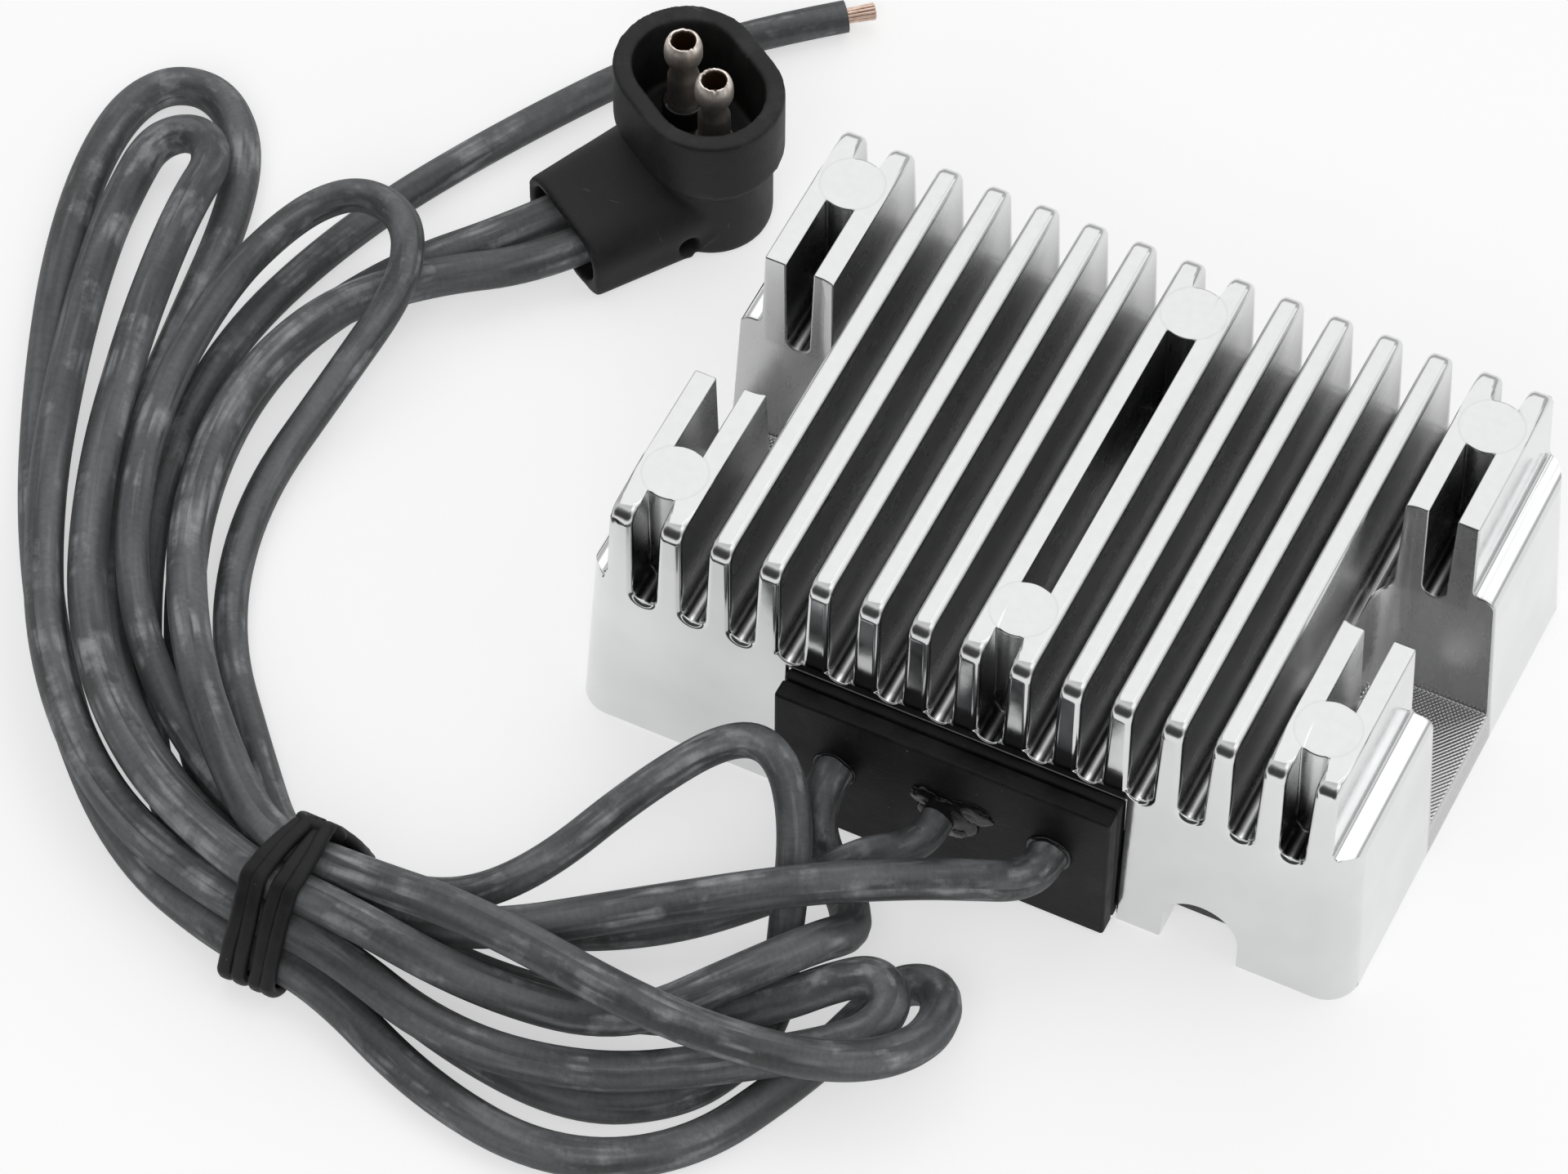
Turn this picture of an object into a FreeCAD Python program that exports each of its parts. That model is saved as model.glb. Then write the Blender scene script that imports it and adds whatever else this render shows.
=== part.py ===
import FreeCAD, Part
import math
import os

# Voltage regulator rectifier with its three cords and plug.
# Millimetres. X runs along the long side, Y across it and Z up. The origin is the middle of the housing's
# base plane. The wire plate and its cords are on the -Y side.

Vector = FreeCAD.Vector
UP = Vector(0, 0, 1)

# Housing: outer form
base_length = 118.6
base_depth = 79.8
body_height = 46.0
corner_radius = 5.0
front_draft = 2.6
side_draft = 2.8
top_edge_radius = 2.5

# Housing: fins and the slots between them
fin_count = 15
fin_thickness = 3.3
shoulder_width = 5.15
fin_pitch = (base_length - 2 * shoulder_width - fin_thickness) / (fin_count - 1)
slot_depth = 18.0
slot_draft = 1.2
end_fin_draft = 1.5

# Housing: shoulders outside the end fins
shoulder_drop = 14.6
shoulder_foot_radius = 1.0
shoulder_edge_radius = 2.1

# Housing: ejector pads that fill a slot up to the fin tops
pad_radius = 4.7
pad_inset = 11.7
pad_slots = (0, 7, 13)

# Housing: bolt pockets, open to the ends
bolt_edge_distance = 8.5
bolt_spacing = base_length - 2 * bolt_edge_distance
bolt_hole_radius = 3.4
pocket_reach = 9.2
pocket_inner = bolt_spacing / 2 - pocket_reach
pocket_width = 20.4
pocket_floor = 6.5
pocket_draft = 1.1
pocket_corner_radius = 4.5

# Housing: cavity in the underside and the arched notch into it
end_wall = 5.8
front_wall = 5.0
cavity_length = base_length - 2 * end_wall
cavity_depth = base_depth - 2 * front_wall
cavity_ceiling = 22.0
cavity_radius = 4.0
cavity_draft = 1.5
pocket_wall = 3.6
notch_place = 37.0
notch_width = 11.4
notch_height = 10.0

# Wire plate: a rubber back layer with a boss, and a front layer
plate_centre = -1.0
plate_width = 50.6
plate_top = 27.0
plate_bottom = 0.5
plate_recess = 1.5
plate_seat = plate_recess - base_depth / 2
plate_seat_gap = 0.3
grommet_thickness = 2.0
plate_thickness = 3.1
plate_groove = 0.4
window_wall = 1.6
window_height = 10.0
window_height_centre = 14.8
bead_height = 1.8
bead_radius = 5.4
bead_lobe_radius = 4.2
bead_lobe_height = 1.5
bead_lobe_aside = 4.4
bead_lobe_rise = 2.8

# Cords
thick_cord = 5.8
thin_cord = 5.0
strand_diameter = 0.9
strand_length = 4.8
strand_overlap = 0.02
strand_stagger = 0.35
lead_depth = 14.0

# Rubber band round the folded cords
band_place = -75.6
band_width = 3.2
band_thickness = 1.2
band_pitch = 4.6
band_gap = 0.6
band_knot_radius = 1.5
band_knot_length = 8.4

# Circuit in the cavity
potting_recess = 1.5
board_clearance = 3.0
board_length = 2 * (pocket_inner - pocket_wall - board_clearance)
board_edge_clearance = 3.9
board_depth = cavity_depth - 2 * board_edge_clearance
board_thickness = 1.6
board_top = 10.0
pad_sheet_inset = 1.0
pad_sheet_length = board_length - 2 * pad_sheet_inset
pad_sheet_depth = 22.0
pad_sheet_thickness = 0.5
clamp_screw_radius = 1.9
clamp_screw_clearance = 1.9
device_gap = 2 * (clamp_screw_radius + clamp_screw_clearance)
device_place = 8.0
device_end_margin = 1.8
device_pitch = (pad_sheet_length - 2 * device_end_margin + device_gap) / 4
device_width = device_pitch - device_gap
device_length = 9.2
device_thickness = 4.6
device_tab_length = 6.4
device_tab_thickness = 1.3
device_leg = 0.8
device_leg_pitch = device_width / 4
device_leg_reach = 3.2
device_leg_level = 2.8
clamp_bar_length = pad_sheet_length - 2 * pad_sheet_inset
clamp_bar_depth = 7.0
clamp_bar_thickness = 2.0
clamp_screw_head_radius = 3.6
clamp_screw_head = 2.4
clamp_screw_grip = 4.0
component_end_margin = 9.0
capacitor_row = 14.6
capacitor_radius = 4.0
capacitor_height = 9.0
capacitor_leg_spacing = 3.5
resistor_row = 15.0
resistor_spacing = 6.0
resistor_radius = 1.7
resistor_length = 9.0
component_lead_radius = 0.4
component_lead_reach = 2.5
zener_row = 23.0
zener_radius = 1.4
zener_length = 5.0
transistor_row = 13.0
transistor_radius = 2.4
transistor_height = 4.6
transistor_stand = 2.0
transistor_flat = 1.4
transistor_leg = 0.5
transistor_leg_pitch = 1.27
barrel_wall = 0.8
barrel_length = 6.0
barrel_post_radius = 1.2
barrel_post_place = 1.5

# Plug: drawn about its own axis with the boot towards -Y, then turned and set down beside the housing
plug_x = -83.8
plug_from_plate = 93.8
plug_turn = -33.0
plug_half_straight = 3.3
collar_radius = 10.9
collar_wall = 2.9
collar_bottom = 15.0
collar_top = 27.0
socket_floor = 13.5
neck_radius = 9.2
neck_bottom_radius = 1.4
boot_length = 23.4
boot_root_width = 23.0
boot_root_height = 15.0
boot_mouth_width = 20.0
boot_mouth_height = 11.0
boot_roundness = 0.46
boot_wall = 1.5
mouth_depth = 5.9
core_hole_radius = 1.6
core_hole_place = -8.0
core_hole_height = 3.9
core_hole_depth = 4.0
pin_spacing = 8.7
pin_root_radius = 1.5
pin_root_depth = 8.0
pin_shank_radius = 2.4
pin_waist_radius = 1.95
pin_waist_length = 3.0
pin_head_radius = 2.85
pin_head_length = 1.6
pin_head_bottom = 27.6
pin_shoulder = 1.4
pin_shoulder_bulge = 0.1
pin_tip_radius = 2.15
pin_tip_height = 30.9
pin_tip_bulge = 0.24
pin_mouth_radius = 1.7
pin_mouth_depth = 4.5
insulator_radius = 3.2
insulator_height = 4.0

# Routes of the three cords, each from its exit in the wire plate, hand laid from fold to fold.
# Y is counted from the wire plate's face.
wire_right_route = [
    (15.7, 0, 15.5), (15.7, -3.5, 15.5), (13.6, -6.9, 16.2), (9.2, -9.7, 17.4),
    (1.5, -14, 18.5), (-12, -22, 19), (-30.5, -33.5, 16.5), (-50, -44.5, 12), (-69, -47.6, 10.1),
    (-82, -47.6, 10.1), (-104.5, -38, 9), (-123.5, -18, 5.5), (-134.5, 8, 3.5),
    (-139, 36, 3), (-142.5, 59, 3), (-148, 71.8, 3), (-156, 77.5, 3.5), (-164, 74.7, 3.5),
    (-166.6, 64, 3.5), (-163, 44, 3), (-152.8, 18.5, 3), (-139.8, -7, 3), (-123, -30, 3),
    (-103, -48.5, 3), (-82, -56, 4.8), (-69, -56, 4.8), (-47.5, -65, 3), (-27, -67.5, 3),
    (-11, -58.5, 3), (-2.5, -40.5, 3), (1.2, -29, 3.9), (3.4, -22.5, 5), (8.6, -21.3, 6.9),
    (12.2, -26, 9), (12.2, -33.5, 11), (6.5, -40.7, 12.7), (-4, -45.8, 14.9), (-22, -48.5, 17.5),
    (-48, -46.5, 20.5), (-69, -44.9, 15.4), (-82, -44.9, 15.4), (-93, -36, 16.5), (-107, -20.5, 14),
    (-119.5, 1, 10.5), (-124.5, 24, 9), (-120.5, 43.5, 9), (-110, 57, 7.5),
    (-96.57, 67.52, 6), (-90.31, 77.16, 6),
]
wire_left_route = [
    (-16.9, 0, 14.8), (-16.9, -3.9, 14.8), (-16.2, -7.4, 12.6), (-14.6, -9.1, 8.7),
    (-11.5, -10.5, 5.8), (-8, -13.5, 5), (-5.1, -19, 7.5), (-6.9, -26, 13.8), (-13.5, -36, 15.2),
    (-25.5, -48.5, 11), (-45, -53, 13.5), (-69, -50.9, 15.6), (-82, -50.9, 15.6),
    (-104, -42, 15.5), (-122.5, -23, 11.5), (-135, 2, 9.5), (-142.5, 27.5, 8.5),
    (-146, 44.5, 8.5), (-147.4, 55, 8.4), (-147.6, 61.5, 8), (-150.8, 66, 7.2), (-155.3, 66.4, 6.2),
    (-158.7, 62.9, 5), (-158.4, 55.8, 4.6), (-156.5, 43.5, 5), (-149.6, 21.5, 7.9), (-139.6, -4.5, 9),
    (-125.5, -29, 9.5), (-105.5, -47, 9.5), (-82, -53.6, 10.3), (-69, -53.6, 10.3),
    (-47, -59.5, 8.5), (-26, -56, 8.5), (-10, -45.7, 8.8), (-0.5, -39, 9.2), (4.8, -33.9, 9.6),
    (5.8, -28.3, 10.3), (1.6, -25.3, 10.5), (-3.4, -28.7, 9.6), (-8.6, -33.9, 8.5),
    (-18.6, -41.3, 6.9), (-43, -46.1, 3.8), (-69, -44.8, 4.8), (-82, -44.8, 4.8), (-97.5, -34.5, 3.5),
    (-112.5, -14.5, 3.5), (-123.5, 11, 3.5), (-125.5, 37, 3), (-116.5, 57.5, 4),
    (-102.34, 71.86, 6), (-96.35, 81.08, 6),
]
wire_centre_route = [
    (-0.9, 0, 13.6), (-0.9, -3.7, 13.6), (-3.2, -7.2, 13.4), (-7.6, -10.4, 14),
    (-15.8, -17.4, 8.3), (-30, -29, 4.5), (-48.5, -37, 3), (-69, -39.2, 4.4), (-82, -39.2, 4.4),
    (-94, -26, 3.5), (-108.5, -9, 2.5), (-115.5, 12.5, 3), (-113, 34.5, 7), (-110, 50, 13),
    (-113, 58.5, 15), (-118.5, 62, 14.5), (-125, 62, 13.5), (-131, 55.5, 11.5), (-135, 39.5, 10),
    (-133, 14, 9), (-122, -12, 10), (-103.5, -31.5, 11), (-82, -41.8, 9.5), (-69, -41.8, 9.5),
    (-56.5, -39.5, 9), (-47, -31.5, 12), (-38.5, -16.5, 18), (-29.5, -6.3, 23.5), (-22, -6.3, 24.2),
    (-15.8, -13.8, 19), (-12.5, -25.1, 8), (-10, -32, 2.7), (-10.5, -41, 2.5),
    (-15.5, -51, 2.5), (-28, -58.5, 2.5), (-48, -57, 3), (-69, -50.4, 4.4), (-82, -50.4, 4.4),
    (-100.5, -41.5, 3), (-116.5, -18.5, 2.5), (-129, 8, 3), (-132.5, 35.5, 3), (-126, 63, 3),
    (-113.5, 89.5, 2.5), (-97, 116.5, 2.5), (-78.1, 132, 2.7),
]


def rounded_rectangle(length, depth, radius, z, x=0.0, y=0.0):
    """A closed wire of four straight sides and four corner arcs, level with z."""
    half_l = length / 2
    half_d = depth / 2
    flat_l = half_l - radius
    flat_d = half_d - radius
    slant = radius * math.sqrt(0.5)
    edges = []
    for turn in range(4):
        spin = FreeCAD.Rotation(UP, 90 * turn)
        a_half, b_half, a_flat, b_flat = (
            (half_l, half_d, flat_l, flat_d) if turn % 2 == 0 else (half_d, half_l, flat_d, flat_l)
        )
        side_start = Vector(a_half, -b_flat, 0)
        side_end = Vector(a_half, b_flat, 0)
        arc_middle = Vector(a_flat + slant, b_flat + slant, 0)
        arc_end = Vector(a_flat, b_half, 0)
        points = [spin.multVec(p) + Vector(x, y, z) for p in (side_start, side_end, arc_middle, arc_end)]
        edges.append(Part.LineSegment(points[0], points[1]).toShape())
        edges.append(Part.Arc(points[1], points[2], points[3]).toShape())
    return Part.Wire(edges)


def drafted_block(length, depth, radius, bottom, top, draft_x, draft_y, x=0.0, y=0.0):
    """A block with rounded corners whose sides lean in by the drafts from bottom to top."""
    rise = top - bottom
    less_l = 2 * rise * math.tan(math.radians(draft_x))
    less_d = 2 * rise * math.tan(math.radians(draft_y))
    lower = rounded_rectangle(length, depth, radius, bottom, x, y)
    upper = rounded_rectangle(length - less_l, depth - less_d, radius, top, x, y)
    return Part.makeLoft([lower, upper], True, True)


def outline_face(points):
    """The flat face inside the outline through points, where a pair of points is an arc's middle and end."""
    edges = []
    here = points[0]
    for step in points[1:]:
        if isinstance(step, tuple):
            edges.append(Part.Arc(here, step[0], step[1]).toShape())
            here = step[1]
        else:
            edges.append(Part.LineSegment(here, step).toShape())
            here = step
    if not here.isEqual(points[0], 1e-6):
        edges.append(Part.LineSegment(here, points[0]).toShape())
    return Part.Face(Part.Wire(edges))


def prism(points, along):
    """The outline through points, as outline_face takes them, swept along."""
    return outline_face(points).extrude(along)


def mirrored(shape):
    """The shape and its mirror image across the YZ plane, as one compound."""
    return Part.makeCompound([shape, shape.mirror(Vector(0, 0, 0), Vector(1, 0, 0))])


def front_face(z):
    """The distance of the housing's drafted front from its middle plane at height z."""
    return base_depth / 2 - z * math.tan(math.radians(front_draft))


def side_face(z):
    """The distance of the housing's drafted end from its middle plane at height z."""
    return base_length / 2 - z * math.tan(math.radians(side_draft))


def top_edge_cutter():
    """Rounds the fins' front top corners when it is cut from the body."""
    reach = base_length
    face = front_face(body_height)
    low = front_face(body_height - top_edge_radius)
    centre_y = -face + top_edge_radius
    centre_z = body_height - top_edge_radius
    slant = top_edge_radius * math.sqrt(0.5)
    outline = [
        Vector(-reach, centre_y, body_height),
        (Vector(-reach, centre_y - slant, centre_z + slant), Vector(-reach, -low, centre_z)),
        Vector(-reach, -base_depth, centre_z),
        Vector(-reach, -base_depth, body_height + 1),
        Vector(-reach, centre_y, body_height + 1),
    ]
    return prism(outline, Vector(2 * reach, 0, 0))


def shoulder_cutter():
    """Takes the body away outside the last fin and leaves a rounded ledge."""
    ledge = body_height - shoulder_drop
    flank_top = (fin_count - 1) / 2 * fin_pitch + fin_thickness / 2
    lean = math.tan(math.radians(end_fin_draft))
    foot_z = ledge + shoulder_foot_radius
    foot_x = flank_top + (body_height - foot_z) * lean
    foot_slant = shoulder_foot_radius * (1 - math.sqrt(0.5))
    edge_z = ledge - shoulder_edge_radius
    edge_x = side_face(edge_z)
    edge_slant = shoulder_edge_radius * math.sqrt(0.5)
    edge_centre = edge_x - shoulder_edge_radius
    y = -base_depth
    outline = [
        Vector(flank_top - lean, y, body_height + 1),
        Vector(foot_x, y, foot_z),
        (Vector(foot_x + foot_slant, y, ledge + foot_slant), Vector(foot_x + shoulder_foot_radius, y, ledge)),
        Vector(edge_centre, y, ledge),
        (Vector(edge_centre + edge_slant, y, edge_z + edge_slant), Vector(edge_x, y, edge_z)),
        Vector(base_length, y, edge_z),
        Vector(base_length, y, body_height + 1),
    ]
    return prism(outline, Vector(0, 2 * base_depth, 0))


def slot_x(number):
    """The middle of a slot, counted from the left."""
    return (number - (fin_count - 2) / 2) * fin_pitch


def slot_cutter(number):
    """One slot: leaning walls and a round bottom, open at both ends."""
    lean = math.tan(math.radians(slot_draft))
    half_top = (fin_pitch - fin_thickness) / 2
    half_bottom = (half_top - slot_depth * lean) / (1 - lean)
    bottom = body_height - slot_depth
    x = slot_x(number)
    y = -base_depth
    outline = [
        Vector(x - half_top - lean, y, body_height + 1),
        Vector(x - half_bottom, y, bottom + half_bottom),
        (Vector(x, y, bottom), Vector(x + half_bottom, y, bottom + half_bottom)),
        Vector(x + half_top + lean, y, body_height + 1),
    ]
    return prism(outline, Vector(0, 2 * base_depth, 0))


def pocket_cutter():
    """The right bolt pocket, wider towards the top and open to the end."""
    reach = base_length / 2 - pocket_inner + pocket_width
    rise = body_height + 1 - pocket_floor
    widening = 2 * rise * math.tan(math.radians(pocket_draft))
    middle = pocket_inner + reach / 2
    lower = rounded_rectangle(reach, pocket_width, pocket_corner_radius, pocket_floor, middle)
    upper = rounded_rectangle(
        reach + widening, pocket_width + widening, pocket_corner_radius, body_height + 1, middle
    )
    return Part.makeLoft([lower, upper], True, True)


def cavity(bottom):
    """The underside's hollow from bottom to its ceiling, waisted between the two bolt pockets."""
    lean = math.tan(math.radians(cavity_draft))
    room = drafted_block(
        cavity_length - 2 * bottom * lean,
        cavity_depth - 2 * bottom * lean,
        cavity_radius,
        bottom,
        cavity_ceiling,
        cavity_draft,
        cavity_draft,
    )
    waist = pocket_inner - pocket_wall
    reach = cavity_length
    block_width = pocket_width + 2 * pocket_wall
    foot = rounded_rectangle(reach, block_width, cavity_radius, -1, waist + reach / 2)
    widening = 2 * (cavity_ceiling + 2) * lean
    head = rounded_rectangle(
        reach + widening, block_width + widening, cavity_radius, cavity_ceiling + 1, waist + reach / 2
    )
    return room.cut(mirrored(Part.makeLoft([foot, head], True, True)))


def notch_cutter():
    """The arched notch in the front wall's lower edge."""
    radius = notch_width / 2
    spring = notch_height - radius
    y = -base_depth / 2 - 1
    outline = [
        Vector(notch_place - radius, y, -1),
        Vector(notch_place - radius, y, spring),
        (Vector(notch_place, y, notch_height), Vector(notch_place + radius, y, spring)),
        Vector(notch_place + radius, y, -1),
    ]
    return prism(outline, Vector(0, (base_depth - cavity_depth) / 2 + 2, 0))


def window_plug(start, end):
    """The stadium-shaped body of the wire window between two Y places."""
    radius = window_height / 2
    exits = [route[0].x for route, diameter in cords().values()]
    flat = (max(exits) - min(exits) + thick_cord) / 2 + window_wall - radius
    z = window_height_centre
    x = (min(exits) + max(exits)) / 2
    outline = [
        Vector(x - flat, start, z - radius),
        Vector(x + flat, start, z - radius),
        (Vector(x + flat + radius, start, z), Vector(x + flat, start, z + radius)),
        Vector(x - flat, start, z + radius),
        (Vector(x - flat - radius, start, z), Vector(x - flat, start, z - radius)),
    ]
    return prism(outline, Vector(0, end - start, 0))


def wall_inside(z):
    """The cavity's front wall at height z."""
    return -cavity_depth / 2 + z * math.tan(math.radians(cavity_draft))


def heatsink_housing():
    body = drafted_block(base_length, base_depth, corner_radius, 0, body_height, side_draft, front_draft)
    front = top_edge_cutter()
    back = front.mirror(Vector(0, 0, 0), Vector(0, 1, 0))
    slots = Part.makeCompound([slot_cutter(number) for number in range(fin_count - 1)])
    body = body.cut(front).cut(back).cut(mirrored(shoulder_cutter())).cut(slots)
    pads = []
    for number in pad_slots:
        for side in (-1, 1):
            foot = Vector(slot_x(number), side * (base_depth / 2 - pad_inset), body_height - slot_depth - 1)
            pads.append(Part.makeCylinder(pad_radius, slot_depth + 1, foot))
    body = body.fuse(pads)
    body = body.cut(mirrored(pocket_cutter())).cut(cavity(-1)).cut(notch_cutter())
    seat = Part.makeBox(
        plate_width + 2 * plate_seat_gap,
        base_depth,
        plate_top + plate_seat_gap + 1,
        Vector(plate_centre - plate_width / 2 - plate_seat_gap, plate_seat - base_depth, -1),
    )
    bolt_hole = Part.makeCylinder(bolt_hole_radius, pocket_floor + 2, Vector(bolt_spacing / 2, 0, -1))
    screw_holes = Part.makeCompound(
        [
            Part.makeCylinder(clamp_screw_radius, clamp_screw_grip, Vector(x, device_place, cavity_ceiling))
            for x in clamp_screw_places()
        ]
    )
    window = window_plug(plate_seat - 1, wall_inside(0) + 3)
    return body.cut(seat).cut(mirrored(bolt_hole)).cut(screw_holes).cut(window).removeSplitter()


def cord_bore(route, diameter, start, end):
    """The straight run of a cord along Y, between two Y places on the line through its exit."""
    place = route[0]
    return Part.makeCylinder(diameter / 2, end - start, Vector(place.x, start, place.z), Vector(0, 1, 0))


def cord_bores(start, end):
    return [cord_bore(route, diameter, start, end) for route, diameter in cords().values()]


def plate_layer(start, end, groove_at):
    """One flat layer of the wire plate, with a small chamfer round the edge that meets the other layer."""
    box = Part.makeBox(
        plate_width,
        end - start,
        plate_top - plate_bottom,
        Vector(plate_centre - plate_width / 2, start, plate_bottom),
    )
    rim = [edge for edge in box.Edges if all(abs(v.Point.y - groove_at) < 1e-6 for v in edge.Vertexes)]
    return box.makeChamfer(plate_groove, rim)


def wire_grommet():
    front = plate_seat - grommet_thickness
    layer = plate_layer(front, plate_seat, front)
    boss = window_plug(plate_seat, wall_inside(window_height_centre))
    return layer.fuse(boss).cut(cord_bores(front - 1, 0)).removeSplitter()


def wire_plate():
    back = plate_seat - grommet_thickness
    front = back - plate_thickness
    layer = plate_layer(front, back, back)
    return layer.cut(cord_bores(front - 1, 0))


def plate_front():
    return plate_seat - grommet_thickness - plate_thickness


def bead_cap(x, z, radius, height):
    """A shallow cap of a sphere standing on the wire plate's face."""
    ball_radius = (radius * radius + height * height) / (2 * height)
    ball = Part.makeSphere(ball_radius, Vector(x, plate_front() + ball_radius - height, z))
    block = Part.makeCylinder(radius + 1, height + 1, Vector(x, plate_front(), z), Vector(0, -1, 0))
    return ball.common(block)


def sealant_bead():
    route, diameter = cords()["wire_centre"]
    exit_point = route[0]
    main = bead_cap(exit_point.x, exit_point.z, bead_radius, bead_height)
    lobe_x = exit_point.x + bead_lobe_aside
    lobe_z = exit_point.z + bead_lobe_rise
    lobe = bead_cap(lobe_x, lobe_z, bead_lobe_radius, bead_lobe_height)
    bore = cord_bore(route, diameter, plate_front() - bead_height - 1, plate_front() + 1)
    return main.fuse(lobe).cut(bore).removeSplitter()


def turned_cord(name, route, diameter):
    """A cord's tube: straight runs joined by arcs, each as large as its two runs allow."""
    edges = []
    here = route[0]
    radii = []
    for before, corner, after in zip(route, route[1:], route[2:]):
        inward = (before - corner).normalize()
        outward = (after - corner).normalize()
        half_turn = (math.pi - inward.getAngle(outward)) / 2
        setback = 0.45 * min(before.distanceToPoint(corner), corner.distanceToPoint(after))
        radius = setback / math.tan(half_turn)
        start = corner + inward * setback
        end = corner + outward * setback
        bisector = (inward + outward).normalize()
        middle = corner + bisector * (radius / math.cos(half_turn) - radius)
        edges.append(Part.LineSegment(here, start).toShape())
        edges.append(Part.Arc(start, middle, end).toShape())
        here = end
        radii.append(radius)
    edges.append(Part.LineSegment(here, route[-1]).toShape())
    path = Part.Wire(edges)
    first_run = route[1] - route[0]
    ring = Part.Wire(Part.Circle(route[0], first_run, diameter / 2).toShape())
    tube = path.makePipeShell([ring], True, False)
    expected = math.pi * diameter ** 2 / 4 * path.Length
    print(name, "length", round(path.Length, 1), "volume ratio", round(tube.Volume / expected, 4))
    print(name, "radii", " ".join(str(round(radius, 1)) for radius in radii))
    return tube


def cords():
    """Each cord's route and diameter."""
    routes = {
        "wire_left": (wire_left_route, thick_cord),
        "wire_centre": (wire_centre_route, thin_cord),
        "wire_right": (wire_right_route, thick_cord),
    }
    face = Vector(0, plate_front(), 0)
    return {
        name: ([Vector(*place) + face for place in route], diameter)
        for name, (route, diameter) in routes.items()
    }


def lead(route, diameter):
    """The stretch of a cord that runs through the wire plate and the wall to the board."""
    return cord_bore(route, diameter, plate_front(), plate_front() + lead_length())


def lead_length():
    return plate_seat - plate_front() + lead_depth


def lead_terminals():
    """Crimp barrels over the ends of the three leads, each with a post down to the board."""
    pieces = []
    board_foot = board_top - board_thickness
    for route, diameter in cords().values():
        end = plate_front() + lead_length()
        start = Vector(route[0].x, end - barrel_length / 2, route[0].z)
        outer = Part.makeCylinder(diameter / 2 + barrel_wall, barrel_length, start, Vector(0, 1, 0))
        inner = Part.makeCylinder(diameter / 2, barrel_length / 2, start, Vector(0, 1, 0))
        post_foot = Vector(start.x, end + barrel_post_place, board_foot)
        post = Part.makeCylinder(barrel_post_radius, start.z - board_foot, post_foot)
        pieces.append(outer.fuse(post).cut(inner).removeSplitter())
    return Part.makeCompound(pieces)


def bare_strands():
    """Seven copper strands standing out of the middle cord's far end."""
    route = cords()["wire_centre"][0]
    end = route[-1]
    way = (end - route[-2]).normalize()
    aside = way.cross(UP).normalize()
    lift = aside.cross(way)
    radius = strand_diameter / 2 + strand_overlap
    bundle = Part.makeCylinder(radius, strand_length, end, way)
    for number in range(6):
        angle = math.radians(60 * number)
        offset = (aside * math.cos(angle) + lift * math.sin(angle)) * strand_diameter
        length = strand_length - strand_stagger * (number % 3)
        bundle = bundle.fuse(Part.makeCylinder(radius, length, end + offset, way))
    return bundle.removeSplitter()


def convex_outline(points):
    """The points, as (y, z), that lie on the outer outline, in order round it."""
    ordered = sorted(points)
    outline = []
    for sweep in (ordered, ordered[::-1]):
        chain = []
        for p in sweep:
            while len(chain) > 1:
                (ay, az), (by, bz) = chain[-2], chain[-1]
                if (by - ay) * (p[1] - az) - (bz - az) * (p[0] - ay) > 0:
                    break
                chain.pop()
            chain.append(p)
        outline += chain[:-1]
    return outline


def band_passes():
    """The cords' runs through the band, each as its first point and its diameter."""
    passes = []
    for route, diameter in cords().values():
        for a, b in zip(route, route[1:]):
            if (a.x - band_place) * (b.x - band_place) < 0:
                passes.append((a, diameter))
    return passes


def band_outline():
    """The outline round the cords' middles at the band, as (y, z).

    A thin cord's place moves in by the difference of the radii, so that one offset touches all.
    """
    passes = band_passes()
    middle_y = sum(place.y for place, diameter in passes) / len(passes)
    middle_z = sum(place.z for place, diameter in passes) / len(passes)
    centres = []
    for place, diameter in passes:
        shift = (thick_cord - diameter) / 2
        y = place.y + math.copysign(shift, middle_y - place.y)
        z = place.z + math.copysign(shift, middle_z - place.z)
        centres.append((y, z))
    return convex_outline(centres)


def tie_band():
    """Two wraps of a rubber band round all nine passes of the cords, and the twist that joins them."""
    outline = band_outline()
    corners = [Vector(band_place, y, z) for y, z in outline]
    loop = Part.makePolygon(corners + corners[:1])
    inner_offset = thick_cord / 2 + band_gap
    inner = Part.Face(loop.makeOffset2D(inner_offset, 0))
    outer = Part.Face(loop.makeOffset2D(inner_offset + band_thickness, 0))
    ring = outer.cut(inner).extrude(Vector(band_width, 0, 0))
    wraps = [ring.translated(Vector(side * band_pitch / 2 - band_width / 2, 0, 0)) for side in (-1, 1)]
    far_y, far_z = max(outline, key=lambda place: place[0] + place[1])
    reach = (inner_offset + band_thickness / 2 + band_knot_radius / 2) * math.sqrt(0.5)
    knot_start = Vector(band_place - band_knot_length / 2, far_y + reach, far_z + reach)
    twist = Part.makeCylinder(band_knot_radius, band_knot_length, knot_start, Vector(1, 0, 0))
    for place, diameter in band_passes():
        start = Vector(band_place - band_knot_length, place.y, place.z)
        room = Part.makeCylinder((diameter + band_gap) / 2, 2 * band_knot_length, start, Vector(1, 0, 0))
        twist = twist.cut(room)
    return wraps[0].fuse([wraps[1], twist]).removeSplitter()


def board_component(shape, x, row):
    """Sets a component on the board at x, its row counted from the board's front edge."""
    return shape.translated(Vector(x, row - board_depth / 2, board_top))


def device_places():
    return [(number - 1.5) * device_pitch for number in range(4)]


def clamp_screw_places():
    return [-device_pitch, device_pitch]


def device_top():
    return cavity_ceiling - pad_sheet_thickness


def circuit_board():
    board = Part.makeBox(
        board_length,
        board_depth,
        board_thickness,
        Vector(-board_length / 2, -board_depth / 2, board_top - board_thickness),
    )
    holes = [lead_terminals(), filter_capacitor()]
    holes += [power_device(x) for x in device_places()]
    for hole in holes:
        board = board.cut(hole)
    return board


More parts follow.
